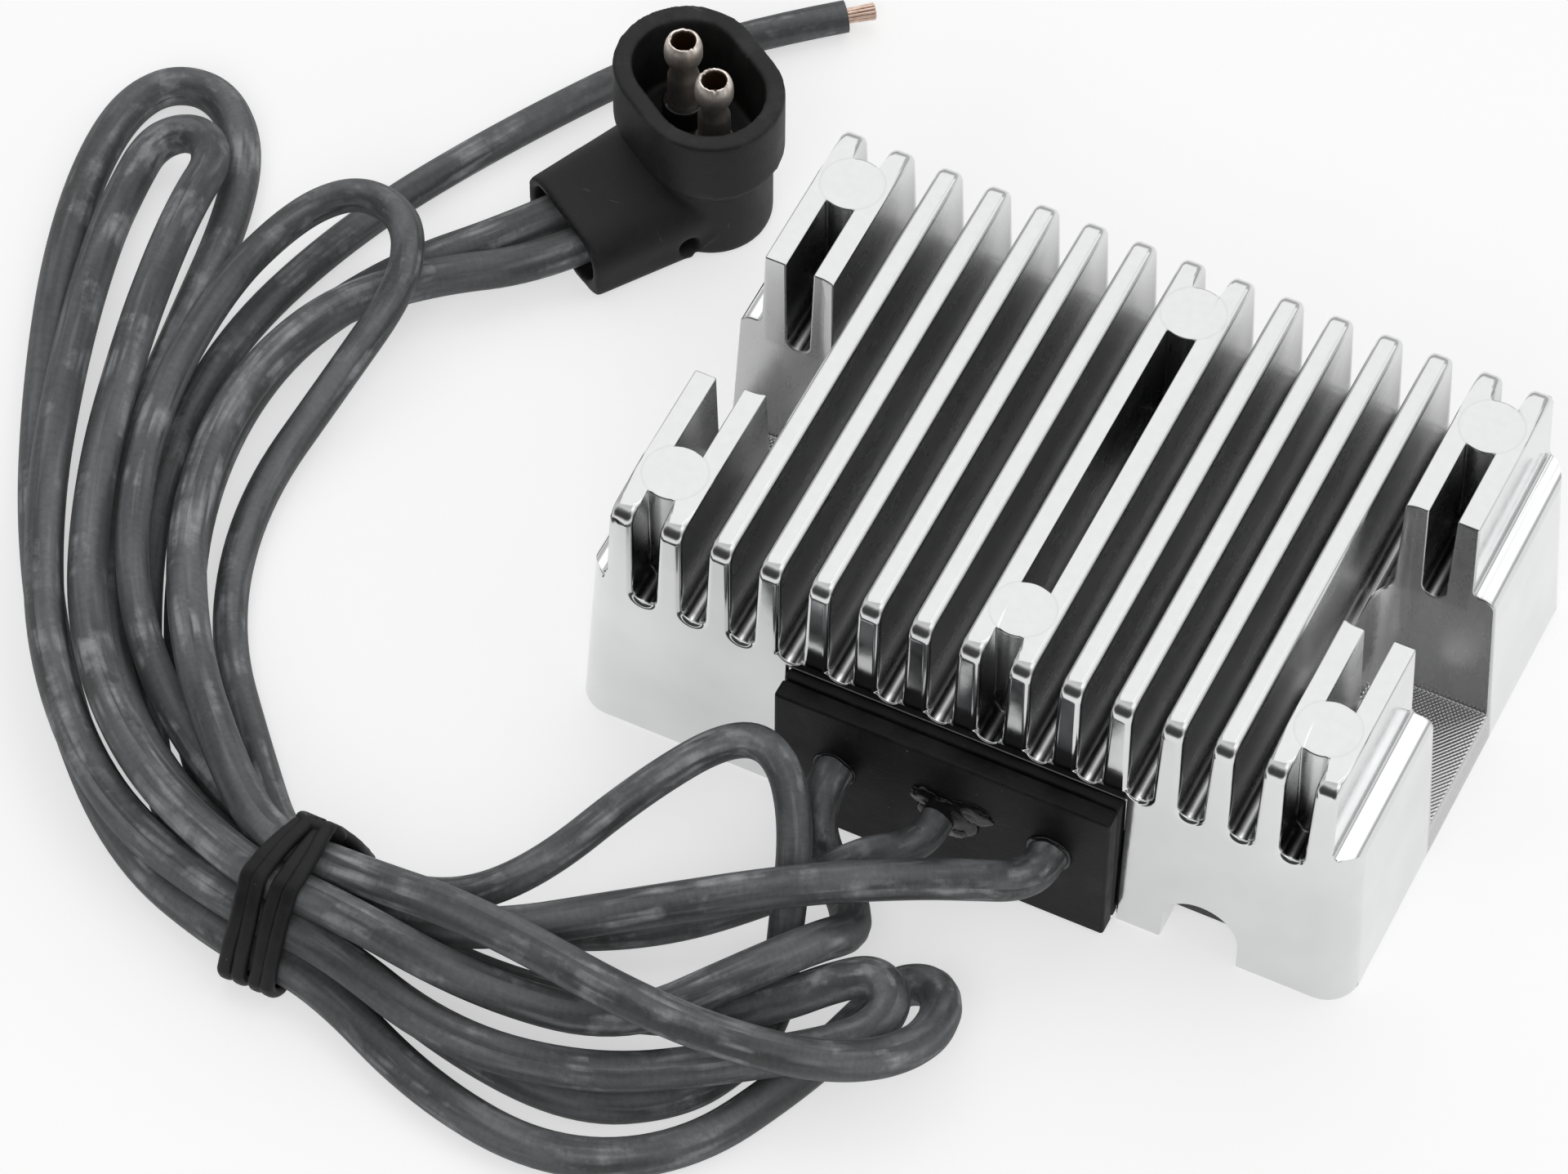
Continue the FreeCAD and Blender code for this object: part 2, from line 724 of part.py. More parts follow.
def power_device(x):
    """A flat power device: a tab against the sheet, a body and three legs bent down into the board."""
    back = device_top()
    side = x - device_width / 2
    front = device_place - device_length / 2
    body_corner = Vector(side, front, back - device_thickness)
    body = Part.makeBox(device_width, device_length, device_thickness, body_corner)
    tab_corner = Vector(side, front + device_length, back - device_tab_thickness)
    pieces = [Part.makeBox(device_width, device_tab_length, device_tab_thickness, tab_corner)]
    leg_y = front - device_leg_reach
    leg_top = back - device_leg_level + device_leg / 2
    board_foot = board_top - board_thickness
    for number in (-1, 0, 1):
        leg_x = x + number * device_leg_pitch - device_leg / 2
        level_corner = Vector(leg_x, leg_y, leg_top - device_leg)
        pieces.append(Part.makeBox(device_leg, device_leg_reach, device_leg, level_corner))
        drop_corner = Vector(leg_x, leg_y, board_foot)
        pieces.append(Part.makeBox(device_leg, device_leg, leg_top - board_foot, drop_corner))
    return body.fuse(pieces).removeSplitter()


def thermal_pad():
    """The insulating sheet, with a hole for each clamp screw."""
    corner = Vector(-pad_sheet_length / 2, device_place - pad_sheet_depth / 2, device_top())
    sheet = Part.makeBox(pad_sheet_length, pad_sheet_depth, pad_sheet_thickness, corner)
    for x in clamp_screw_places():
        hole_foot = Vector(x, device_place, device_top())
        sheet = sheet.cut(Part.makeCylinder(clamp_screw_radius, pad_sheet_thickness, hole_foot))
    return sheet


def clamp_bottom():
    return device_top() - device_thickness - clamp_bar_thickness


def clamp_bar():
    """The bar across the four power devices, with a hole for each clamp screw."""
    corner = Vector(-clamp_bar_length / 2, device_place - clamp_bar_depth / 2, clamp_bottom())
    bar = Part.makeBox(clamp_bar_length, clamp_bar_depth, clamp_bar_thickness, corner)
    for x in clamp_screw_places():
        hole_foot = Vector(x, device_place, clamp_bottom())
        bar = bar.cut(Part.makeCylinder(clamp_screw_radius, clamp_bar_thickness, hole_foot))
    return bar


def clamp_screws():
    pieces = []
    foot_z = clamp_bottom()
    for x in clamp_screw_places():
        head_foot = Vector(x, device_place, foot_z - clamp_screw_head)
        head = Part.makeCylinder(clamp_screw_head_radius, clamp_screw_head, head_foot)
        shank_length = cavity_ceiling + clamp_screw_grip - foot_z
        shank = Part.makeCylinder(clamp_screw_radius, shank_length, Vector(x, device_place, foot_z))
        pieces.append(head.fuse(shank).removeSplitter())
    return Part.makeCompound(pieces)


def filter_capacitor():
    can = Part.makeCylinder(capacitor_radius, capacitor_height)
    legs = []
    for side in (-1, 1):
        foot = Vector(side * capacitor_leg_spacing / 2, 0, -board_thickness)
        legs.append(Part.makeCylinder(component_lead_radius, board_thickness, foot))
    return board_component(can.fuse(legs), component_end_margin - board_length / 2, capacitor_row)


def axial_part(radius, length, x, row):
    """A lying component that rests on the board, with a stiff lead at each end."""
    half_span = length / 2 + component_lead_reach
    body = Part.makeCylinder(radius, length, Vector(-length / 2, 0, radius), Vector(1, 0, 0))
    wire_start = Vector(-half_span, 0, radius)
    wire = Part.makeCylinder(component_lead_radius, 2 * half_span, wire_start, Vector(1, 0, 0))
    feet = []
    for side in (-1, 1):
        foot = Vector(side * (half_span - component_lead_radius), 0, 0)
        feet.append(Part.makeCylinder(component_lead_radius, radius, foot))
    return board_component(body.fuse([wire] + feet).removeSplitter(), x, row)


def zener_diode():
    return axial_part(zener_radius, zener_length, board_length / 2 - component_end_margin, zener_row)


def trigger_resistors():
    rows = (resistor_row, resistor_row + resistor_spacing)
    return Part.makeCompound([axial_part(resistor_radius, resistor_length, 0, row) for row in rows])


def control_transistor():
    """A round-backed transistor that stands on three legs."""
    round_side = Part.makeCylinder(transistor_radius, transistor_height, Vector(0, 0, transistor_stand))
    cut_corner = Vector(-transistor_radius, -transistor_radius, transistor_stand)
    flat = Part.makeBox(2 * transistor_radius, transistor_flat, transistor_height, cut_corner)
    legs = []
    for number in (-1, 0, 1):
        corner = Vector(number * transistor_leg_pitch - transistor_leg / 2, -transistor_leg / 2, 0)
        legs.append(Part.makeBox(transistor_leg, transistor_leg, transistor_stand, corner))
    shape = round_side.cut(flat).fuse(legs).removeSplitter()
    return board_component(shape, board_length / 2 - component_end_margin, transistor_row)


def potting_compound(inside):
    filling = cavity(potting_recess)
    for piece in inside:
        filling = filling.cut(piece)
    return filling.removeSplitter()


def racetrack_block(radius, bottom, top):
    """An upright block whose section is two half circles joined by straight sides."""
    half = plug_half_straight
    outline = [
        Vector(-half, -radius, bottom),
        Vector(half, -radius, bottom),
        (Vector(half + radius, 0, bottom), Vector(half, radius, bottom)),
        Vector(-half, radius, bottom),
        (Vector(-half - radius, 0, bottom), Vector(-half, -radius, bottom)),
    ]
    return prism(outline, Vector(0, 0, top - bottom))


def boot_section(width, height, y, rise=0.0):
    """An upright oval of the boot, standing on the floor unless it rises."""
    flat = rounded_rectangle(width, height, height * boot_roundness, 0)
    flat.rotate(Vector(0, 0, 0), Vector(1, 0, 0), 90)
    flat.translate(Vector(0, y, height / 2 + rise))
    return flat


def set_plug(shape):
    turned = shape.copy()
    turned.rotate(Vector(0, 0, 0), UP, plug_turn)
    turned.translate(Vector(plug_x, plate_front() + plug_from_plate, 0))
    return turned


def plug_body():
    neck = racetrack_block(neck_radius, 0, collar_bottom)
    foot = [edge for edge in neck.Edges if all(abs(v.Point.z) < 1e-6 for v in edge.Vertexes)]
    neck = neck.makeFillet(neck_bottom_radius, foot)
    boot = Part.makeLoft(
        [
            boot_section(boot_root_width, boot_root_height, 0),
            boot_section(boot_mouth_width, boot_mouth_height, -boot_length),
        ],
        True,
        True,
    )
    collar = racetrack_block(collar_radius, collar_bottom, collar_top)
    socket = racetrack_block(collar_radius - collar_wall, socket_floor, collar_top + 1)
    recess = Part.makeLoft(
        [
            boot_section(boot_mouth_width - 2 * boot_wall, boot_mouth_height - 2 * boot_wall, y, boot_wall)
            for y in (-boot_length - 1, -boot_length + mouth_depth)
        ],
        True,
        True,
    )
    core_hole = Part.makeCylinder(
        core_hole_radius,
        boot_root_width,
        Vector(boot_root_width / 2 - core_hole_depth, core_hole_place, core_hole_height),
        Vector(1, 0, 0),
    )
    body = neck.fuse([boot, collar]).cut(socket).cut(recess).cut(core_hole)
    for side in (-1, 1):
        foot = Vector(side * pin_spacing / 2, 0, socket_floor - pin_root_depth)
        body = body.cut(Part.makeCylinder(pin_root_radius, pin_root_depth + 1, foot))
    return set_plug(body.removeSplitter())


def bulged(start, end, bulge):
    """An arc step for outline_face from start to end in the XZ plane, its middle bulge outside the chord."""
    way = (end - start).normalize()
    return ((start + end) * 0.5 + Vector(way.z, 0, -way.x) * bulge, end)


def pin_outline(foot):
    """Half the section of a bullet pin above its insulator: shank, waist, shoulder, head and rounded tip."""
    shoulder = Vector(pin_shank_radius, 0, pin_head_bottom - pin_shoulder)
    waist = shoulder - Vector(0, 0, pin_waist_length)
    head = Vector(pin_head_radius, 0, pin_head_bottom)
    head_top = head + Vector(0, 0, pin_head_length)
    tip = Vector(pin_tip_radius, 0, pin_tip_height)
    return [
        Vector(0, 0, foot),
        Vector(pin_shank_radius, 0, foot),
        waist,
        bulged(waist, shoulder, pin_waist_radius - pin_shank_radius),
        bulged(shoulder, head, pin_shoulder_bulge),
        head_top,
        bulged(head_top, tip, pin_tip_bulge),
        Vector(0, 0, pin_tip_height),
    ]


def plug_pin(side):
    """A bullet pin: root in the body, shank through the insulator, and a head with a hollow end."""
    root_foot = Vector(0, 0, socket_floor - pin_root_depth)
    root = Part.makeCylinder(pin_root_radius, pin_root_depth + insulator_height, root_foot)
    outline = pin_outline(socket_floor + insulator_height)
    upper = outline_face(outline).revolve(Vector(0, 0, 0), UP, 360)
    mouth_foot = Vector(0, 0, pin_tip_height - pin_mouth_depth)
    mouth = Part.makeCylinder(pin_mouth_radius, pin_mouth_depth + 1, mouth_foot)
    pin = root.fuse(upper).cut(mouth).removeSplitter()
    return set_plug(pin.translated(Vector(side * pin_spacing / 2, 0, 0)))


def pin_insulator(side):
    foot = Vector(side * pin_spacing / 2, 0, socket_floor)
    ring = Part.makeCylinder(insulator_radius, insulator_height, foot)
    return set_plug(ring.cut(Part.makeCylinder(pin_root_radius, insulator_height, foot)))


def build():
    """Every node by name."""
    nodes = {
        "heatsink_housing": heatsink_housing(),
        "wire_grommet": wire_grommet(),
        "wire_plate": wire_plate(),
        "sealant_bead": sealant_bead(),
        "bare_strands": bare_strands(),
        "tie_band": tie_band(),
        "plug_body": plug_body(),
        "plug_pin_a": plug_pin(-1),
        "plug_pin_b": plug_pin(1),
        "pin_insulator_a": pin_insulator(-1),
        "pin_insulator_b": pin_insulator(1),
    }
    for name, (route, diameter) in cords().items():
        nodes[name] = turned_cord(name, route, diameter)
    inside = {
        "circuit_board": circuit_board(),
        "thermal_pad": thermal_pad(),
        "clamp_bar": clamp_bar(),
        "clamp_screws": clamp_screws(),
        "lead_terminals": lead_terminals(),
        "filter_capacitor": filter_capacitor(),
        "zener_diode": zener_diode(),
        "trigger_resistors": trigger_resistors(),
        "control_transistor": control_transistor(),
    }
    for name, x in zip(("scr_left", "diode_left", "diode_right", "scr_right"), device_places()):
        inside[name] = power_device(x)
    for name, (route, diameter) in cords().items():
        inside[name.replace("wire", "lead")] = lead(route, diameter)
    nodes.update(inside)
    nodes["potting_compound"] = potting_compound(list(inside.values()) + [nodes["wire_grommet"]])
    return nodes


def main():
    os.makedirs("parts", exist_ok=True)
    for name, shape in build().items():
        shape.exportStep("parts/" + name + ".step")


main()
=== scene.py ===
import math

import bmesh
import bpy
from mathutils import Matrix, Vector, noise


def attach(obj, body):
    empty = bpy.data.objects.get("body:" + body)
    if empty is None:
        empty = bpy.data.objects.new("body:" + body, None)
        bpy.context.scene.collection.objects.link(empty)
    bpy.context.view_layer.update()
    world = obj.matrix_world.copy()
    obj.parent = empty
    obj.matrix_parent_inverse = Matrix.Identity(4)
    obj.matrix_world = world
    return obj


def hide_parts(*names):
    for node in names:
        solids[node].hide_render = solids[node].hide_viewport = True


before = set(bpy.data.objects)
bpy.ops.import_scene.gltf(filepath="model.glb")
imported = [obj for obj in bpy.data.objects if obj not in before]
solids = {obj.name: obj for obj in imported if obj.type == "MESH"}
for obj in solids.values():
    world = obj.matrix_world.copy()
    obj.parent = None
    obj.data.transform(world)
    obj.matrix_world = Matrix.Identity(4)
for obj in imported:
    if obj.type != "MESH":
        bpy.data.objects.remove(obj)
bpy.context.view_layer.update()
scene = bpy.context.scene

# The camera
# It stands before the housing's front right corner and looks steeply down through a long lens, so the
# fins run almost parallel in the picture.
view_azimuth = math.radians(25.394)
view_elevation = math.radians(54.034)
view_roll = math.radians(0.509)
camera = bpy.data.objects.new("camera", bpy.data.cameras.new("camera"))
camera.data.lens = 183.8
camera.data.clip_end = 20
camera.location = (0.2462, -0.6145, 0.9238)
camera_turn = Matrix.Rotation(view_azimuth, 3, "Z")
camera_turn = camera_turn @ Matrix.Rotation(math.pi / 2 - view_elevation, 3, "X")
camera_turn = camera_turn @ Matrix.Rotation(view_roll, 3, "Z")
camera.rotation_euler = camera_turn.to_euler()
scene.collection.objects.link(camera)
scene.camera = camera

# The three cords
# Rubber-insulated stranded wire, thick for the pair that goes to the plug and thinner for the middle one.
# Each is folded back on itself twice, and one rubber band holds all the passes.
cord_routes = {
    "wire_right": [
        (0.0157, -0.0435, 0.0155), (0.0157, -0.047, 0.0155), (0.0136, -0.0504, 0.0162),
        (0.0092, -0.0532, 0.0174), (0.0015, -0.0575, 0.0185), (-0.012, -0.0655, 0.019),
        (-0.0305, -0.077, 0.0165), (-0.05, -0.088, 0.012), (-0.069, -0.0911, 0.0101),
        (-0.082, -0.0911, 0.0101), (-0.1045, -0.0815, 0.009), (-0.1235, -0.0615, 0.0055),
        (-0.1345, -0.0355, 0.0035), (-0.139, -0.0075, 0.003), (-0.1425, 0.0155, 0.003),
        (-0.148, 0.0283, 0.003), (-0.156, 0.034, 0.0035), (-0.164, 0.0312, 0.0035),
        (-0.1666, 0.0205, 0.0035), (-0.163, 0.0005, 0.003), (-0.1528, -0.025, 0.003),
        (-0.1398, -0.0505, 0.003), (-0.123, -0.0735, 0.003), (-0.103, -0.092, 0.003),
        (-0.082, -0.0995, 0.0048), (-0.069, -0.0995, 0.0048), (-0.0475, -0.1085, 0.003),
        (-0.027, -0.111, 0.003), (-0.011, -0.102, 0.003), (-0.0025, -0.084, 0.003),
        (0.0012, -0.0725, 0.0039), (0.0034, -0.066, 0.005), (0.0086, -0.0648, 0.0069),
        (0.0122, -0.0695, 0.009), (0.0122, -0.077, 0.011), (0.0065, -0.0842, 0.0127),
        (-0.004, -0.0893, 0.0149), (-0.022, -0.092, 0.0175), (-0.048, -0.09, 0.0205),
        (-0.069, -0.0884, 0.0154), (-0.082, -0.0884, 0.0154), (-0.093, -0.0795, 0.0165),
        (-0.107, -0.064, 0.014), (-0.1195, -0.0425, 0.0105), (-0.1245, -0.0195, 0.009), (-0.1205, 0, 0.009),
        (-0.11, 0.0135, 0.0075), (-0.09657, 0.02402, 0.006), (-0.09031, 0.03366, 0.006),
    ],
    "wire_left": [
        (-0.0169, -0.0435, 0.0148), (-0.0169, -0.0474, 0.0148), (-0.0162, -0.0509, 0.0126),
        (-0.0146, -0.0526, 0.0087), (-0.0115, -0.054, 0.0058), (-0.008, -0.057, 0.005),
        (-0.0051, -0.0625, 0.0075), (-0.0069, -0.0695, 0.0138), (-0.0135, -0.0795, 0.0152),
        (-0.0255, -0.092, 0.011), (-0.045, -0.0965, 0.0135), (-0.069, -0.0944, 0.0156),
        (-0.082, -0.0944, 0.0156), (-0.104, -0.0855, 0.0155), (-0.1225, -0.0665, 0.0115),
        (-0.135, -0.0415, 0.0095), (-0.1425, -0.016, 0.0085), (-0.146, 0.001, 0.0085),
        (-0.1474, 0.0115, 0.0084), (-0.1476, 0.018, 0.008), (-0.1508, 0.0225, 0.0072),
        (-0.1553, 0.0229, 0.0062), (-0.1587, 0.0194, 0.005), (-0.1584, 0.0123, 0.0046), (-0.1565, 0, 0.005),
        (-0.1496, -0.022, 0.0079), (-0.1396, -0.048, 0.009), (-0.1255, -0.0725, 0.0095),
        (-0.1055, -0.0905, 0.0095), (-0.082, -0.0971, 0.0103), (-0.069, -0.0971, 0.0103),
        (-0.047, -0.103, 0.0085), (-0.026, -0.0995, 0.0085), (-0.01, -0.0892, 0.0088),
        (-0.0005, -0.0825, 0.0092), (0.0048, -0.0774, 0.0096), (0.0058, -0.0718, 0.0103),
        (0.0016, -0.0688, 0.0105), (-0.0034, -0.0722, 0.0096), (-0.0086, -0.0774, 0.0085),
        (-0.0186, -0.0848, 0.0069), (-0.043, -0.0896, 0.0038), (-0.069, -0.0883, 0.0048),
        (-0.082, -0.0883, 0.0048), (-0.0975, -0.078, 0.0035), (-0.1125, -0.058, 0.0035),
        (-0.1235, -0.0325, 0.0035), (-0.1255, -0.0065, 0.003), (-0.1165, 0.014, 0.004),
        (-0.10234, 0.02836, 0.006), (-0.09635, 0.03758, 0.006),
    ],
    "wire_centre": [
        (-0.0009, -0.0435, 0.0136), (-0.0009, -0.0472, 0.0136), (-0.0032, -0.0507, 0.0134),
        (-0.0076, -0.0539, 0.014), (-0.0158, -0.0609, 0.0083), (-0.03, -0.0725, 0.0045),
        (-0.0485, -0.0805, 0.003), (-0.069, -0.0827, 0.0044), (-0.082, -0.0827, 0.0044),
        (-0.094, -0.0695, 0.0035), (-0.1085, -0.0525, 0.0025), (-0.1155, -0.031, 0.003),
        (-0.113, -0.009, 0.007), (-0.11, 0.0065, 0.013), (-0.113, 0.015, 0.015), (-0.1185, 0.0185, 0.0145),
        (-0.125, 0.0185, 0.0135), (-0.131, 0.012, 0.0115), (-0.135, -0.004, 0.01), (-0.133, -0.0295, 0.009),
        (-0.122, -0.0555, 0.01), (-0.1035, -0.075, 0.011), (-0.082, -0.0853, 0.0095),
        (-0.069, -0.0853, 0.0095), (-0.0565, -0.083, 0.009), (-0.047, -0.075, 0.012),
        (-0.0385, -0.06, 0.018), (-0.0295, -0.0498, 0.0235), (-0.022, -0.0498, 0.0242),
        (-0.0158, -0.0573, 0.019), (-0.0125, -0.0686, 0.008), (-0.01, -0.0755, 0.0027),
        (-0.0105, -0.0845, 0.0025), (-0.0155, -0.0945, 0.0025), (-0.028, -0.102, 0.0025),
        (-0.048, -0.1005, 0.003), (-0.069, -0.0939, 0.0044), (-0.082, -0.0939, 0.0044),
        (-0.1005, -0.085, 0.003), (-0.1165, -0.062, 0.0025), (-0.129, -0.0355, 0.003),
        (-0.1325, -0.008, 0.003), (-0.126, 0.0195, 0.003), (-0.1135, 0.046, 0.0025),
        (-0.097, 0.073, 0.0025), (-0.0781, 0.0885, 0.0027),
    ],
}
thick_cord = 0.0058
thin_cord = 0.005


def start_finish(name):
    """A new material with its node tree and its shader."""
    finish = bpy.data.materials.new(name)
    finish.use_nodes = True
    return finish, finish.node_tree, finish.node_tree.nodes["Principled BSDF"]


def add_node(tree, kind, **values):
    """A node whose settings and inputs are given by name, an output being linked."""
    new = tree.nodes.new("ShaderNode" + kind)
    for name, value in values.items():
        if hasattr(new, name) and name not in new.inputs:
            setattr(new, name, value)
    for name, value in values.items():
        socket = new.inputs.get(name.replace("_", " "))
        if isinstance(value, bpy.types.NodeSocket):
            tree.links.new(value, socket)
        elif socket is not None and not hasattr(new, name):
            socket.default_value = value
    return new


def add_ramp(tree, factor, low, high, low_colour=(0, 0, 0, 1), high_colour=(1, 1, 1, 1)):
    """A ramp from one colour at low to another at high."""
    ramp = add_node(tree, "ValToRGB", Fac=factor)
    ramp.color_ramp.elements[0].position = low
    ramp.color_ramp.elements[0].color = low_colour
    ramp.color_ramp.elements[1].position = high
    ramp.color_ramp.elements[1].color = high_colour
    return ramp.outputs["Color"]


def blend_colours(tree, factor, first, second, kind="MIX"):
    """One colour laid over another by a factor."""
    mix = tree.nodes.new("ShaderNodeMix")
    mix.data_type = "RGBA"
    mix.blend_type = kind
    for socket, value in ((mix.inputs[0], factor), (mix.inputs[6], first), (mix.inputs[7], second)):
        if isinstance(value, bpy.types.NodeSocket):
            tree.links.new(value, socket)
        else:
            socket.default_value = value
    return mix.outputs[2]


def rise(tree, value, start, end):
    """A number that goes from 0 where value is start to 1 where it is end."""
    return add_node(tree, "MapRange", Value=value, From_Min=start, From_Max=end).outputs["Result"]


def product(tree, *factors):
    """All the factors multiplied together."""
    result = factors[0]
    for factor in factors[1:]:
        times = tree.nodes.new("ShaderNodeMath")
        times.operation = "MULTIPLY"
        for socket, value in zip(times.inputs, (result, factor)):
            if isinstance(value, bpy.types.NodeSocket):
                tree.links.new(value, socket)
            else:
                socket.default_value = value
        result = times.outputs[0]
    return result


def add_relief(tree, shader, height, distance, strength=1.0):
    """Raises the surface in the shading by distance where height is 1."""
    relief = add_node(tree, "Bump", Height=height, Strength=strength, Distance=distance)
    tree.links.new(relief.outputs["Normal"], shader.inputs["Normal"])


def grey(value, warmth=0.0):
    """A plain grey, a little warmer or cooler."""
    return (value * (1 + warmth), value, value * (1 - warmth), 1)


def cord_rubber():
    """Grey-black rubber, rubbed chalky in smears along the cord and crossed by fine wrinkles, with painted
    shade in the wrinkles' hollows.
    """
    finish, tree, shader = start_finish("cord_rubber")
    place = add_node(tree, "TexCoord")
    along = add_node(tree, "Mapping", Vector=place.outputs["UV"], Scale=(10, 1.6, 1))
    fine = add_node(tree, "Mapping", Vector=place.outputs["UV"], Scale=(16, 3.2, 1))
    across = add_node(tree, "Mapping", Vector=place.outputs["UV"], Scale=(420, 2.5, 1))
    smears = add_node(tree, "TexNoise", Vector=along.outputs["Vector"], Scale=4.0, Detail=2.0, Roughness=0.4)
    streaks = add_node(tree, "TexNoise", Vector=fine.outputs["Vector"], Scale=4.0, Detail=2.0, Roughness=0.4)
    wrinkles = add_node(
        tree, "TexNoise", Vector=across.outputs["Vector"], Scale=3.0, Detail=4.0, Roughness=0.6)
    blotches = add_node(
        tree, "TexNoise", Vector=place.outputs["Object"], Scale=95.0, Detail=6.0, Roughness=0.62)
    specks = add_node(
        tree, "TexNoise", Vector=place.outputs["Object"], Scale=1100.0, Detail=4.0, Roughness=0.8)
    smear_mask = add_ramp(tree, smears.outputs["Fac"], 0.40, 0.66)
    streak_mask = add_ramp(tree, streaks.outputs["Fac"], 0.56, 0.76)
    blotch_mask = product(tree, add_ramp(tree, blotches.outputs["Fac"], 0.50, 0.64),
                          add_ramp(tree, streaks.outputs["Fac"], 0.42, 0.60))
    grain = blend_colours(tree, specks.outputs["Fac"], grey(0.042, -0.02), grey(0.110, -0.03))
    worn = blend_colours(tree, specks.outputs["Fac"], grey(0.13, -0.03), grey(0.25, -0.03))
    rubbed = blend_colours(tree, smear_mask, grain, worn)
    streaked = blend_colours(tree, product(tree, streak_mask, 0.6), rubbed, grey(0.28, -0.03))
    chalk = blend_colours(tree, product(tree, blotch_mask, 0.85), streaked, grey(0.44, -0.03))
    # Painted shade: the colour is darkened by up to 14 percent where the wrinkles dip, as shade in their
    # hollows.
    wrinkle_shade = add_ramp(tree, wrinkles.outputs["Fac"], 0.3, 0.6, grey(0.86), grey(1.0))
    tree.links.new(blend_colours(tree, 1.0, chalk, wrinkle_shade, "MULTIPLY"), shader.inputs["Base Color"])
    sheen = add_ramp(tree, smears.outputs["Fac"], 0.3, 0.7, grey(0.45), grey(0.72))
    tree.links.new(sheen, shader.inputs["Roughness"])
    shader.inputs["Specular IOR Level"].default_value = 0.4
    surface = blend_colours(tree, 0.5, wrinkles.outputs["Fac"], specks.outputs["Fac"])
    add_relief(tree, shader, surface, 0.00012, 0.6)
    return finish


cord_finish = cord_rubber()


def lay_cord(name, diameter):
    """A cord's smooth line through its route, as a round curve."""
    line = bpy.data.curves.new(name + "_cord", "CURVE")
    line.dimensions = "3D"
    spline = line.splines.new("NURBS")
    spline.points.add(len(cord_routes[name]) - 1)
    for point, place in zip(spline.points, cord_routes[name]):
        point.co = (*place, 1)
    spline.order_u = 3
    spline.use_endpoint_u = True
    spline.resolution_u = 10
    line.bevel_depth = diameter / 2
    line.bevel_resolution = 6
    line.use_fill_caps = True
    line.materials.append(cord_finish)
    piece = bpy.data.objects.new(name + "_cord", line)
    scene.collection.objects.link(piece)
    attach(piece, "root")
    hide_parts(name)
    return piece


right_cord = lay_cord("wire_right", thick_cord)
left_cord = lay_cord("wire_left", thick_cord)
centre_cord = lay_cord("wire_centre", thin_cord)


